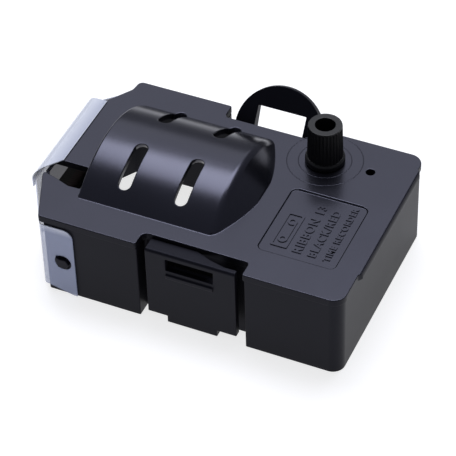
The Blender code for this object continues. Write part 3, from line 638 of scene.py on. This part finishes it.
def base_corners(inset):
    """The base wall's plan, drawn in by inset from the cover's edge."""
    front, rear = FRONT_NOTCH_X, REAR_NOTCH_X
    side = inset - OVERHANG
    notch_y = NOTCH_DEPTH + GAP + side * NOTCH_WALL / WALL
    corner = max(0.3, END_RADIUS - inset)
    return [
        (0.9 + inset, inset, 0.5),
        (front[0] - side, inset, 0.3), (front[0] - side, notch_y, 0.6),
        (front[1] + 0.4 + side, notch_y, 0.6), (front[1] + 0.4 + side, inset, 0.3),
        (LENGTH - inset, inset, corner), (LENGTH - inset, DEPTH - inset, corner),
        (rear[1] + side, DEPTH - inset, 0.3), (rear[1] + side, DEPTH - notch_y, 0.6),
        (rear[0] - side, DEPTH - notch_y, 0.6), (rear[0] - side, DEPTH - inset, 0.3),
        (1.0 + inset, DEPTH - inset, 0.5),
        (-NOSE_REACH + inset, NOSE_Y[1] - inset / 3, 1.5), (-NOSE_REACH + inset, NOSE_Y[0] + inset / 3, 1.5),
    ]


def cavity_corners(grow):
    """The head cavity's plan, which narrows towards the nose."""
    half = CAVITY_TIP_HALF + grow * 1.2
    return [
        (CAVITY_X[0] - grow * 0.4, CAVITY_Y[0] - grow, 0.8), (CAVITY_X[1] + grow, CAVITY_Y[0] - grow, 1.0),
        (CAVITY_X[1] + grow, CAVITY_Y[1] + grow, 1.0), (CAVITY_X[0] - grow * 0.4, CAVITY_Y[1] + grow, 0.8),
        (CAVITY_TIP_X, DEPTH / 2 + half), (CAVITY_TIP_X, DEPTH / 2 - half),
    ]


def arch_body(name, shrink):
    """The arch as a drum along x with a cone at its knob end, both edges rounded."""
    radius = sizes().arch_radius / MM - shrink
    x_low, x_high = ARCH_X[0] + shrink, ARCH_X[1] - shrink
    cone = ARCH_CONE_DROP * ARCH_CONE_RUN
    body = rod(name, ((x_low + x_high) / 2, *ARCH_AXIS), radius, x_high - x_low, "x", 200)
    bpy.ops.object.mode_set(mode="EDIT")
    use_mode("faces")
    end_x, start_x = place(x_high, 0).x, place(x_low, 0).x
    pick(body, "faces", lambda f: f.normal.x > 0.9)
    bpy.ops.mesh.extrude_region_move(TRANSFORM_OT_translate={"value": (cone * MM, 0, 0)})
    ratio = (radius - ARCH_CONE_DROP) / radius
    bpy.ops.transform.resize(value=(1, ratio, ratio), center_override=place(x_high + cone, *ARCH_AXIS))
    use_mode("edges")
    pick(body, "edges", lambda e: all(abs(v.co.x - end_x) < 0.00001 for v in e.verts))
    bpy.ops.mesh.bevel(offset=sizes().shoulder, offset_type="OFFSET", affect="EDGES", segments=8)
    pick(body, "edges", lambda e: all(abs(v.co.x - start_x) < 0.00001 for v in e.verts))
    bpy.ops.mesh.bevel(offset=sizes().rim, offset_type="OFFSET", affect="EDGES", segments=4)
    face_out()
    bpy.ops.object.mode_set(mode="OBJECT")
    return body


class CASSETTE_OT_cover(bpy.types.Operator):
    """Model the cover: the deck with its label panel, and the slotted arch over the print head"""

    bl_idname = "cassette.cover"
    bl_label = "Cover"

    def execute(self, context):
        cover = plate("cover_shell", cover_corners(), COVER_UNDER_Z, DECK_Z)
        arch = arch_body("arch", 0)
        under = round_corners((-20, LENGTH + 20), (-20, DEPTH + 20), 0)
        combine(arch, plate("under_deck", under, -40, DECK_Z - COVER_THICKNESS / 2))
        combine(cover, arch, "UNION")
        combine(cover, arch_body("arch_hollow", ARCH_WALL))
        self.slots(cover)
        self.round_end(cover)
        combine(cover, plate("notch", NOSE_NOTCH, COVER_UNDER_Z - 1, DECK_Z + 1))
        # A lip hangs from the nose's edge, and the ribbon's upper edge runs in it
        lip = round_corners(NOSE_LIP_X, NOSE_LIP_Y, 0.3)
        combine(cover, plate("nose_lip", lip, NOSE_LIP_Z, COVER_UNDER_Z + 0.1), "UNION")
        combine(cover, drum("stem_hole", *DRIVE_AXIS, STEM_RADIUS + GAP, COVER_UNDER_Z - 1, DECK_Z + 1, 48))
        combine(cover, drum("sight_hole", *SIGHT_HOLE, COVER_UNDER_Z - 1, DECK_Z + 1, 32))
        panel = round_corners(LABEL_X, LABEL_Y, LABEL_CORNER)
        combine(cover, plate("panel", panel, DECK_Z - sizes().label_depth / MM, DECK_Z + 1))
        soften(cover, sizes().edge)
        settle(cover, "case", "case_black", cover_plastic(), "top_cover")
        # Painted shade: the rim's upright faces, where the tool's parting line runs, take the base's copy of
        # the plastic, whose reflection is turned down
        cover.data.materials.append(shaded_base_plastic())
        for face in cover.data.polygons:
            if abs(face.normal.z) < 0.5 and COVER_UNDER_Z < face.center.z / MM < DECK_Z:
                face.material_index = 1
        # The tool's inserts leave fine rings standing on the deck
        for radius in MOULD_RINGS:
            fresh()
            bpy.ops.mesh.primitive_torus_add(
                location=place(*DRIVE_AXIS, DECK_Z - sizes().ring_width * 0.4 / MM), major_segments=128,
                minor_segments=12, major_radius=radius * MM, minor_radius=sizes().ring_width,
            )
            ring = bpy.context.object
            ring.name = "witness_ring"
            bpy.ops.object.transform_apply(location=True, rotation=True, scale=True)
            shade(ring)
            settle(ring, "case", "case_black", cover_plastic())
        return {"FINISHED"}

    @staticmethod
    def slots(cover):
        """Cut the four slots through the arch, each leaning with the arch's curve."""
        width, length = SLOT_SIZE
        y, z = ARCH_AXIS
        crown = z + sizes().arch_radius / MM
        slot_y = (y - length / 2, y + length / 2)
        for lean in SLOT_ANGLES:
            for x in SLOT_X:
                outline = round_corners((x - width / 2, x + width / 2), slot_y, width / 2 - 0.02)
                slot = plate("slot", outline, crown - 5, crown + 3)
                tilt(slot, math.radians(-lean), place(0, y, z))
                combine(cover, slot)

    @staticmethod
    def round_end(cover):
        """Round the end flange's edge over most of its height."""
        side, reach, past = LENGTH + END_FLANGE, END_FLANGE - 0.08, 3
        foot = DECK_Z - END_FLANGE_DROP
        rounding = [(side + 1, foot), (side + 1, DECK_Z + 1), (side - reach, DECK_Z + 1)] + [
            (side - reach + reach * math.sin(a), foot + END_FLANGE_DROP * math.cos(a))
            for a in (math.pi / 20 * i for i in range(11))
        ]
        combine(cover, bar("rounding", rounding, END_FLANGE_Y[0] - past, END_FLANGE_Y[1] + past, along="y"))


class CASSETTE_OT_base(bpy.types.Operator):
    """Model the box part: its walls, the head cavity's wall, the open nose and the film hooks"""

    bl_idname = "cassette.base"
    bl_label = "Base"

    def execute(self, context):
        base = plate("base_shell", base_corners(OVERHANG), 0, WALL_TOP_Z + SEAM_LIFT)
        combine(base, plate("hollow", base_corners(OVERHANG + WALL), FLOOR, DECK_Z))
        around = cavity_corners(CAVITY_WALL)
        combine(base, plate("cavity_wall", around, FLOOR / 2, WALL_TOP_Z + SEAM_LIFT), "UNION")
        combine(base, plate("cavity", cavity_corners(0), -1, DECK_Z))
        lip_z = FLOOR + 0.3
        front = OVERHANG + WALL + 0.1
        outer_x, inner_x, inner_y = NOSE_OPENING
        nose = [
            (-NOSE_REACH - 4, front), (outer_x, front), (inner_x, inner_y),
            (inner_x, DEPTH - inner_y), (outer_x, DEPTH - front), (-NOSE_REACH - 4, DEPTH - front),
        ]
        combine(base, plate("nose_opening", nose, lip_z, DECK_Z))
        # An upstand behind the ribbon closes the foot of the nose
        x, y, height = NOSE_UPSTAND
        combine(base, plate("upstand", round_corners(x, y, 0.3), FLOOR / 2, height), "UNION")
        for x, y in GUIDES:
            combine(base, drum("guide_clearance", x, y, GUIDE_RADIUS + 2 * GAP, lip_z, DECK_Z, 32))
        combine(base, drum("socket_seat", *DRIVE_AXIS, SOCKET_RADIUS, -1, FLOOR + 1, 48))
        for axis in (ARM_PIVOT, PAWL_PIVOT):
            combine(base, drum("post", *axis, PIVOT_POST_RADIUS, FLOOR / 2, FLOOR + 0.6, 24), "UNION")
        combine(base, drum("brake_post", *BRAKE_POST, FLOOR / 2, BRAKE_POST_TOP_Z, 20), "UNION")
        x, z, hole_radius = FILM_HOLE
        r = hole_radius * 0.8
        nub = [
            (x - r, z + r), (x - 0.3 * r, z + 0.7 * r), (x + 0.5 * r, z + 0.8 * r), (x + r, z),
            (x + 0.4 * r, z - 0.9 * r), (x - 0.7 * r, z - 0.8 * r), (x - 0.9 * r, z - 0.2 * r),
        ]
        for wall_y, out in ((OVERHANG, -1), (DEPTH - OVERHANG, 1)):
            hook = bar("hook", nub, *sorted((wall_y - out * 0.5, wall_y + out * 1.1)), along="y")
            combine(base, hook, "UNION")
        soften(base, sizes().edge)
        settle(base, "case", "case_black", shaded_base_plastic(), "base_case")
        return {"FINISHED"}


class CASSETTE_OT_front_clip(bpy.types.Operator):
    """Model the front snap clip with its catch window and ramp"""

    bl_idname = "cassette.front_clip"
    bl_label = "Front Clip"

    def execute(self, context):
        y, inner, root = CLIP_FRONT_Y, CLIP_FRONT_Y + CLIP_THICKNESS, NOTCH_DEPTH - ROOT_GAP
        fillet = 0.8
        shoulder = [
            (y + fillet - fillet * math.sin(a), CLIP_TOP_Z - fillet + fillet * math.cos(a))
            for a in (math.pi / 12 * i for i in range(7))
        ]
        clip = bar("clip_front", shoulder + [
            (y, CLIP_BOTTOM_Z), (inner, CLIP_BOTTOM_Z), (inner, CLIP_TOP_Z - 1.6),
            (root, CLIP_TOP_Z - CLIP_ROOT_THICKNESS), (root, CLIP_TOP_Z),
        ], *CLIP_X)
        tooth = round_corners(CLIP_TOOTH_X, (y, inner), 0)
        combine(clip, plate("tooth", tooth, CLIP_TOOTH_Z, CLIP_BOTTOM_Z + 1), "UNION")
        window = round_corners(CLIP_WINDOW_X, (y - 1, inner + 0.3), 0)
        combine(clip, plate("window", window, *CLIP_WINDOW_Z))
        # A ramp stands out under the window and leads the case's catch in
        foot = CLIP_WINDOW_Z[0]
        ramp = [
            (y + 0.3, foot - 2.8), (y - 0.45, foot - 2.3), (y - 0.45, foot - 1.3), (inner, foot + 0.4),
            (inner, foot - 1),
        ]
        combine(clip, bar("ramp", ramp, *CLIP_WINDOW_X), "UNION")
        swept = [
            (41.0, root + 1), (41.0, root), (45.0, 2.8, 6.0), (49.0, inner - 0.2), (60.0, inner - 0.2),
            (60.0, root + 1),
        ]
        combine(clip, plate("swept_edge", swept, CLIP_WINDOW_Z[1] - 1, DECK_Z))
        soften(clip, sizes().fine_edge)
        settle(clip, "front_latch", "case_black", shaded_base_plastic(), "front_clip")
        return {"FINISHED"}


class CASSETTE_OT_finger_loop(bpy.types.Operator):
    """Model the rear clip, whose top leans back into a round finger loop"""

    bl_idname = "cassette.finger_loop"
    bl_label = "Finger Loop"

    def execute(self, context):
        y, inner = CLIP_REAR_Y, CLIP_REAR_Y - CLIP_THICKNESS
        root = DEPTH - NOTCH_DEPTH
        along = Vector((math.sin(LOOP_LEAN), math.cos(LOOP_LEAN)))
        outward = Vector((math.cos(LOOP_LEAN), -math.sin(LOOP_LEAN)))
        foot = Vector((y, LOOP_Z))
        top = foot + along * LOOP_RADIUS
        front = outward * LOOP_THICKNESS
        clip = bar("clip_rear", [
            (inner, CLIP_BOTTOM_Z), (inner, LOOP_Z - 3.4), (root, LOOP_Z - 3.4), (root, LOOP_Z - 2.0),
            (inner, LOOP_Z - 1.6), (inner + 0.1, LOOP_Z), top, top + front, foot + front - Vector((0, 0.6)),
            (y, LOOP_Z - 2.2), (y, CLIP_BOTTOM_Z),
        ], *CLIP_X)
        steps = 64
        half_turn = [math.pi * i / steps for i in range(1, steps)]
        keep = [
            (LOOP_CENTRE_X - 20, -30), (LOOP_CENTRE_X - 20, 0), (CLIP_X[0], 0),
            *((LOOP_CENTRE_X - LOOP_RADIUS * math.cos(a), LOOP_RADIUS * math.sin(a)) for a in half_turn),
            (CLIP_X[1], 0), (LOOP_CENTRE_X + 20, 0), (LOOP_CENTRE_X + 20, -30),
        ]
        combine(clip, self.leaning("outline", keep, 12), "INTERSECT")
        window_x = (LOOP_CENTRE_X - LOOP_WINDOW_HALF, LOOP_CENTRE_X + LOOP_WINDOW_HALF)
        combine(clip, self.leaning("window", round_corners(window_x, (0, LOOP_WINDOW_TOP), 0), 8))
        lower = round_corners(window_x, (inner - 0.5, y + 6), 0)
        combine(clip, plate("lower_window", lower, LOOP_WINDOW_Z, LOOP_Z + 0.8))
        tooth = round_corners(CLIP_TOOTH_X, (inner, y), 0)
        combine(clip, plate("tooth", tooth, CLIP_TOOTH_Z, CLIP_BOTTOM_Z + 1), "UNION")
        soften(clip, sizes().fine_edge, limit=34)
        settle(clip, "rear_latch", "case_black", shaded_base_plastic(), "rear_clip_loop")
        return {"FINISHED"}

    @staticmethod
    def leaning(name, outline, half_depth):
        """A slab over (x, up the loop) points, square to the leaning loop."""
        tool = plate(name, [(p[0], p[1], *p[2:]) for p in outline], -half_depth, half_depth)
        only(tool)
        lean = Matrix.Rotation(math.radians(90) - LOOP_LEAN, 4, "X")
        at = place(0, CLIP_REAR_Y, LOOP_Z)
        tool.matrix_world = Matrix.Translation((0, at.y, at.z)) @ lean @ Matrix.Translation((0, -ORIGIN.y, 0))
        bpy.ops.object.transform_apply(location=True, rotation=True, scale=True)
        return tool


# ---------------------------------------------------------------- knob, film, label and mechanism

class CASSETTE_OT_knob(bpy.types.Operator):
    """Model the ribbed finger knob on its flange"""

    bl_idname = "cassette.knob"
    bl_label = "Finger Knob"

    def execute(self, context):
        x, y = DRIVE_AXIS
        low, high = KNOB_Z
        foot = DECK_Z + GAP
        flange, rise = KNOB_FLANGE
        grip, tip = KNOB_GRIP
        bore = sizes().knob_bore / MM
        # Height, radius and whether the ring is grooved, from the stem up, over the tip and down the bore
        rings = (
            (foot, STEM_RADIUS, False), (foot, flange, False), (foot + rise, flange, False),
            (foot + rise + 0.4, grip - 0.12, False), (foot + rise + 0.4, grip, True),
            (high - 0.55, tip, True), (high - 0.5, tip - 0.02, False), (high, KNOB_TIP_RADIUS, False),
            (high, bore, False), (high - KNOB_BORE_DEPTH, bore, False),
        )
        ribs = sizes().knob_ribs
        knob = drum("knob_grip", x, y, STEM_RADIUS, low, low + 0.1, ribs * 8)
        bpy.ops.object.mode_set(mode="EDIT")
        use_mode("faces")
        for number, (z, radius, grooved) in enumerate(rings):
            if number:
                bpy.ops.mesh.extrude_region_move()
            else:
                pick(knob, "faces", lambda f: f.normal.z > 0.9)
            mesh = bmesh.from_edit_mesh(knob.data)
            centre = place(x, y, z)
            for vert in (v for v in mesh.verts if v.select):
                arm = vert.co.xy - centre.xy
                angle = math.atan2(arm.y, arm.x)
                reach = radius
                if grooved:
                    reach -= RIB_DEPTH * (0.5 - 0.5 * math.cos(angle * ribs)) ** 0.6
                vert.co = centre + Vector((math.cos(angle), math.sin(angle), 0)) * reach * MM
            bmesh.update_edit_mesh(knob.data)
        face_out()
        bpy.ops.object.mode_set(mode="OBJECT")
        soften(knob, sizes().edge * 0.7, segments=2, limit=40)
        settle(knob, "feed_drive", "drive_black", knob_plastic(), "feed_knob")
        return {"FINISHED"}


def strip(name, path, near, far, thickness):
    """A bent strip, evenly thick: near and far give its two edges for each point of the path."""
    fresh()
    bpy.ops.mesh.primitive_grid_add(
        x_subdivisions=len(path) - 1, y_subdivisions=1, size=MM, location=(0, 0, 0)
    )
    piece = bpy.context.object
    piece.name = name
    columns = sorted({round(v.co.x, 7) for v in piece.data.vertices})
    for vert in piece.data.vertices:
        point = path[columns.index(round(vert.co.x, 7))]
        vert.co = far(point) if vert.co.y > 0 else near(point)
    modifier = piece.modifiers.new("thickness", "SOLIDIFY")
    modifier.thickness = thickness * MM
    modifier.offset = 0
    modifier.use_even_offset = True
    bpy.ops.object.modifier_apply(modifier=modifier.name)
    bpy.ops.object.mode_set(mode="EDIT")
    face_out()
    bpy.ops.object.mode_set(mode="OBJECT")
    return piece


def rounded_path(points, step=6.0):
    """An open path through (x, y) or (x, y, radius) points, with arcs of short sides."""
    path = []
    for index, point in enumerate(points):
        here = Vector(point[:2])
        if len(point) < 3:
            path.append(here)
            continue
        before = (Vector(points[index - 1][:2]) - here).normalized()
        after = (Vector(points[index + 1][:2]) - here).normalized()
        half = before.angle(after) / 2
        centre = here + (before + after).normalized() * (point[2] / math.sin(half))
        start = here + before * (point[2] / math.tan(half)) - centre
        turn = start.angle_signed(here + after * (point[2] / math.tan(half)) - centre)
        steps = max(2, round(abs(math.degrees(turn)) / step))
        path += [centre + Matrix.Rotation(-turn * i / steps, 2) @ start for i in range(steps + 1)]
    return path


class CASSETTE_OT_film(bpy.types.Operator):
    """Model the clear film that guards the ribbon round the nose"""

    bl_idname = "cassette.film"
    bl_label = "Guard Film"

    def execute(self, context):
        thickness = FILM_THICKNESS * 0.6
        outer, off = FILM_OUTER_X, 0.1
        low, high = FILM_FLANGE_Y
        path = rounded_path([
            (FILM_TAB_X, -off), (0.3, -off, 1.2), (outer, 15.4, 1.5),
            (outer, high + 0.8, 1.5), (1.6, DEPTH + off, 1.2), (FILM_TAB_X, DEPTH + off),
        ])
        film = strip("film_band", path, lambda p: place(*p, 0.3), lambda p: place(*p, FILM_TOP_Z), thickness)
        # Each tab's foot slopes down to the case's foot, and its top corner is round
        below = [(-12, -1), (9.6, -1), (9.6, 0.1), (8.1, 0.3), (1.3, 2.0), (-12, 2.0)]
        combine(film, bar("below", below, -3, DEPTH + 3, along="y"))
        radius = FILM_TAB_CORNER
        x, z = FILM_TAB_X - radius, FILM_TOP_Z - radius
        turns = [math.pi / 16 * i for i in range(9)]
        arc = [(x + radius * math.cos(a), z + radius * math.sin(a)) for a in turns]
        above = arc + [(x, FILM_TOP_Z + 1), (FILM_TAB_X + 1, FILM_TOP_Z + 1), (FILM_TAB_X + 1, z)]
        combine(film, bar("above", above, -3, DEPTH + 3, along="y"))
        # The flange over the nose bends down into the outer face, and its ends are cut slanting
        radius, top = FILM_BEND, DECK_Z + thickness / 2 + 0.08
        across = [
            (FILM_FLANGE_X, top),
            *((outer + radius - radius * math.sin(a), top - radius + radius * math.cos(a))
              for a in (math.pi / 24 * i for i in range(13))),
            (outer, 19.5),
        ]
        flange = strip(
            "flange", across, lambda p: place(p[0], low - 6.5, p[1]), lambda p: place(p[0], high + 3.5, p[1]),
            thickness,
        )
        front_end = [(-2, low + 1.8), (-10, low - 8.5), (-10, low - 12), (-2, low - 12)]
        rear_end = [(-2, high + 0.6), (-10, high + 0.4), (-10, high + 9), (-2, high + 9)]
        for end in (front_end, rear_end):
            combine(flange, plate("slant", end, 15, 30))
        combine(film, flange, "UNION")
        x, z, hole_radius = FILM_HOLE
        for y in (-off, DEPTH + off):
            combine(film, rod("film_hole", (x, y, z), hole_radius, 3, "y", 40))
        shade(film)
        settle(film, "case", "guard_film", polyester_film(), "ribbon_guard_film")
        return {"FINISHED"}


class CASSETTE_OT_label(bpy.types.Operator):
    """Raise plain words and a pictogram of the ribbon's spools on the label panel"""

    bl_idname = "cassette.label"
    bl_label = "Label"

    def execute(self, context):
        words = context.scene.cassette_label
        floor = DECK_Z - sizes().label_depth / MM
        for number, text in enumerate((words.first, words.second, words.third)):
            x, size = LETTER_ROWS[number]
            row = self.lettering(text, size)
            row.name = f"lettering_{number + 1}"
            start = place(x, LABEL_Y[0] + LETTER_INDENT, floor)
            row.matrix_world = Matrix.Translation(start) @ Matrix.Rotation(math.pi / 2, 4, "Z")
            bpy.ops.object.transform_apply(location=True, rotation=True, scale=True)
            bpy.ops.object.mode_set(mode="EDIT")
            face_out()
            bpy.ops.object.mode_set(mode="OBJECT")
            settle(row, "case", "case_black", cover_plastic())
        # A fine ridge closes the panel at its rear side
        low, high = LABEL_X[0] + 1.4, LABEL_X[1] - 1.4
        centre = ((low + high) / 2, LABEL_Y[1] + 0.4, DECK_Z - 0.2)
        ridge = rod("label_ridge", centre, RIDGE_RADIUS, high - low, "x", 24)
        pictogram = self.pictogram(floor)
        for piece in (ridge, pictogram):
            shade(piece)
            settle(piece, "case", "case_black", cover_plastic())
        return {"FINISHED"}

    @staticmethod
    def lettering(text, size):
        """A row of standing letters, as a mesh."""
        fresh()
        bpy.ops.object.text_add(location=(0, 0, 0))
        letters = bpy.context.object.data
        letters.body = text
        letters.size = size * MM * LETTER_STRETCH
        letters.extrude = sizes().letter_height
        letters.offset = LETTER_BOLDNESS * MM
        letters.space_character = LETTER_STRETCH
        letters.resolution_u = 3
        bpy.ops.object.convert(target="MESH")
        return bpy.context.object

    @staticmethod
    def pictogram(floor):
        """A frame with two spools and the ribbon running between them."""
        low, high = floor - 0.05, floor + sizes().letter_height / MM
        line = PICTOGRAM_LINE
        inner_x, inner_y = ((side[0] + line, side[1] - line) for side in (PICTOGRAM_X, PICTOGRAM_Y))
        framed = plate("label_frame", round_corners(PICTOGRAM_X, PICTOGRAM_Y, 0.4), low, high)
        combine(framed, plate("inside", round_corners(inner_x, inner_y, 0.3), floor - 1, floor + 1))
        x = sum(PICTOGRAM_X) / 2
        spools_y = (PICTOGRAM_Y[0] + 2.9, PICTOGRAM_Y[1] - 2.9)
        for y in spools_y:
            combine(framed, drum("spool", x, y, SPOOL_RADIUS, low, high, 32), "UNION")
            combine(framed, drum("hub", x, y, SPOOL_RADIUS - 0.65, floor - 1, floor + 1, 24))
        run = round_corners((x + SPOOL_RADIUS - 0.4, x + SPOOL_RADIUS - 0.05), spools_y, 0)
        combine(framed, plate("run", run, low, high), "UNION")
        return framed


class CASSETTE_OT_mechanism(bpy.types.Operator):
    """Give the working pieces inside the case their finishes"""

    bl_idname = "cassette.mechanism"
    bl_label = "Mechanism"

    def execute(self, context):
        finishes = {
            "guide_white": white_acetal, "steel": drawn_steel, "felt": wool_felt, "ribbon": inked_nylon,
            "drive_black": knob_plastic, "case_black": shaded_base_plastic, "guard_film": polyester_film,
        }
        for row in frame["record"]["subparts"]:
            node = frame["nodes"][row["node"]]
            if node.hide_render:
                continue
            node.data.materials.clear()
            node.data.materials.append(finishes[row["material_slot"]]())
        return {"FINISHED"}


# ---------------------------------------------------------------- stage

TABLE_GLOW = 0.76            # the floor is a lit acrylic table
TABLE_FADE = (0.12, 0.6)     # metres over which the glow fades
WORLD = ((0.5, 0.52, 0.6), 0.35)
LAMP_COLOUR = (0.9, 0.92, 1.0)
CAMERA_TURN = (25.281, 43.127, -1.94)     # azimuth, elevation and roll in degrees
CAMERA_AIM = (38.92, 26.17, 11.63)
CAMERA_DISTANCE = 573.55
CAMERA_LENS = 180.68
# Name, azimuth from +Y towards -X, elevation, distance and size in metres, and radiance
LIGHTS = (
    ("overhead", 20.0, 71.0, 1.2, (0.9, 0.58), 6.4),
    ("rear_sheet", 22.0, 44.0, 1.5, (1.1, 1.05), 0.95),
)


def soft_light(name, azimuth, elevation, distance, size, radiance):
    """A soft box on a sphere round the object, facing it, and sized across and up."""
    turn = Matrix.Rotation(math.radians(azimuth), 3, "Z") @ Matrix.Rotation(math.radians(elevation), 3, "X")
    location = turn @ Vector((0, distance, 0))
    fresh()
    bpy.ops.object.light_add(type="AREA", location=location)
    lamp = bpy.context.object
    lamp.name = name
    lamp.data.shape = "RECTANGLE"
    lamp.data.size, lamp.data.size_y = size
    lamp.data.color = LAMP_COLOUR
    lamp.data.energy = radiance * math.pi * size[0] * size[1]
    lamp.rotation_euler = (-location).to_track_quat("-Z", "Y").to_euler()


class CASSETTE_OT_stage(bpy.types.Operator):
    """Set the light table, the soft lights and the camera"""

    bl_idname = "cassette.stage"
    bl_label = "Stage"

    def execute(self, context):
        fresh()
        bpy.ops.mesh.primitive_plane_add(size=6.0, location=(0, 0, -0.0001))
        floor = bpy.context.object
        floor.name = "light_table"
        material, tree, shader = new_material("lit_acrylic", finish().floor, 0.9, specular=0.1)
        grain(tree, shader, 0.6, list(finish().floor), 0.9, 0.01, tint=0.01, spread=0.02)
        shader.inputs["Emission Color"].default_value = (1.0, 1.0, 1.0, 1.0)
        # The lamp is under the middle of the table
        where = add_node(tree, "ShaderNodeTexCoord")
        away = add_node(tree, "ShaderNodeVectorMath", [(0, where, "Object")], operation="LENGTH")
        glow = add_node(
            tree, "ShaderNodeMapRange", [("Value", away, "Value")], from_min=TABLE_FADE[0],
            from_max=TABLE_FADE[1], to_min=TABLE_GLOW, to_max=0.0,
        )
        tree.links.new(glow.outputs["Result"], shader.inputs["Emission Strength"])
        floor.data.materials.append(material)
        world = bpy.data.worlds.new("studio")
        world.use_nodes = True
        background = world.node_tree.nodes["Background"].inputs
        background["Color"].default_value = (*WORLD[0], 1.0)
        background["Strength"].default_value = WORLD[1]
        context.scene.world = world
        for name, azimuth, elevation, distance, size, radiance in LIGHTS:
            soft_light(name, azimuth, elevation, distance, size, radiance)
        self.camera(context)
        context.scene.view_settings.view_transform = "Standard"
        return {"FINISHED"}

    @staticmethod
    def camera(context):
        """Look at the cassette from above its front right corner."""
        azimuth, elevation, roll = (math.radians(a) for a in CAMERA_TURN)
        turn = (
            Matrix.Rotation(azimuth, 4, "Z") @ Matrix.Rotation(math.pi / 2 - elevation, 4, "X")
            @ Matrix.Rotation(roll, 4, "Z")
        )
        fresh()
        bpy.ops.object.camera_add(location=(0, 0, 0))
        camera = bpy.context.object
        camera.name = "camera"
        away = turn.to_3x3() @ Vector((0, 0, CAMERA_DISTANCE * MM))
        camera.matrix_world = Matrix.Translation(place(*CAMERA_AIM) + away) @ turn
        camera.data.sensor_width = 36.0
        camera.data.lens = CAMERA_LENS
        context.scene.camera = camera


# ---------------------------------------------------------------- panel and registration

OPERATORS = (
    CASSETTE_OT_cover, CASSETTE_OT_base, CASSETTE_OT_front_clip, CASSETTE_OT_finger_loop, CASSETTE_OT_knob,
    CASSETTE_OT_film, CASSETTE_OT_label, CASSETTE_OT_mechanism, CASSETTE_OT_stage,
)
GROUPS = {
    "cassette_sizes": CassetteSizes,
    "cassette_finish": CassetteFinish,
    "cassette_label": CassetteLabel,
}


class CASSETTE_PT_panel(bpy.types.Panel):
    """Lists the cassette's settings and the operators that build it"""

    bl_label = "Ribbon Cassette"
    bl_idname = "CASSETTE_PT_panel"
    bl_space_type = "VIEW_3D"
    bl_region_type = "UI"
    bl_category = "Cassette"

    def draw(self, context):
        for group_name, group in GROUPS.items():
            box = self.layout.box()
            settings = getattr(context.scene, group_name)
            for name in group.__annotations__:
                box.prop(settings, name)
        for operator in OPERATORS:
            self.layout.operator(operator.bl_idname)


def register():
    """Register the settings, the operators and the panel."""
    for group in (*GROUPS.values(), *OPERATORS, CASSETTE_PT_panel):
        bpy.utils.register_class(group)
    for name, group in GROUPS.items():
        setattr(bpy.types.Scene, name, PointerProperty(type=group))


def unregister():
    """Take the settings, the operators and the panel away."""
    for name in GROUPS:
        delattr(bpy.types.Scene, name)
    for group in reversed((*GROUPS.values(), *OPERATORS, CASSETTE_PT_panel)):
        bpy.utils.unregister_class(group)


def main():
    """Build the cassette and its stage."""
    register()
    for operator in OPERATORS:
        group, name = operator.bl_idname.split(".")
        getattr(getattr(bpy.ops, group), name)()


if __name__ == "__main__":
    main()
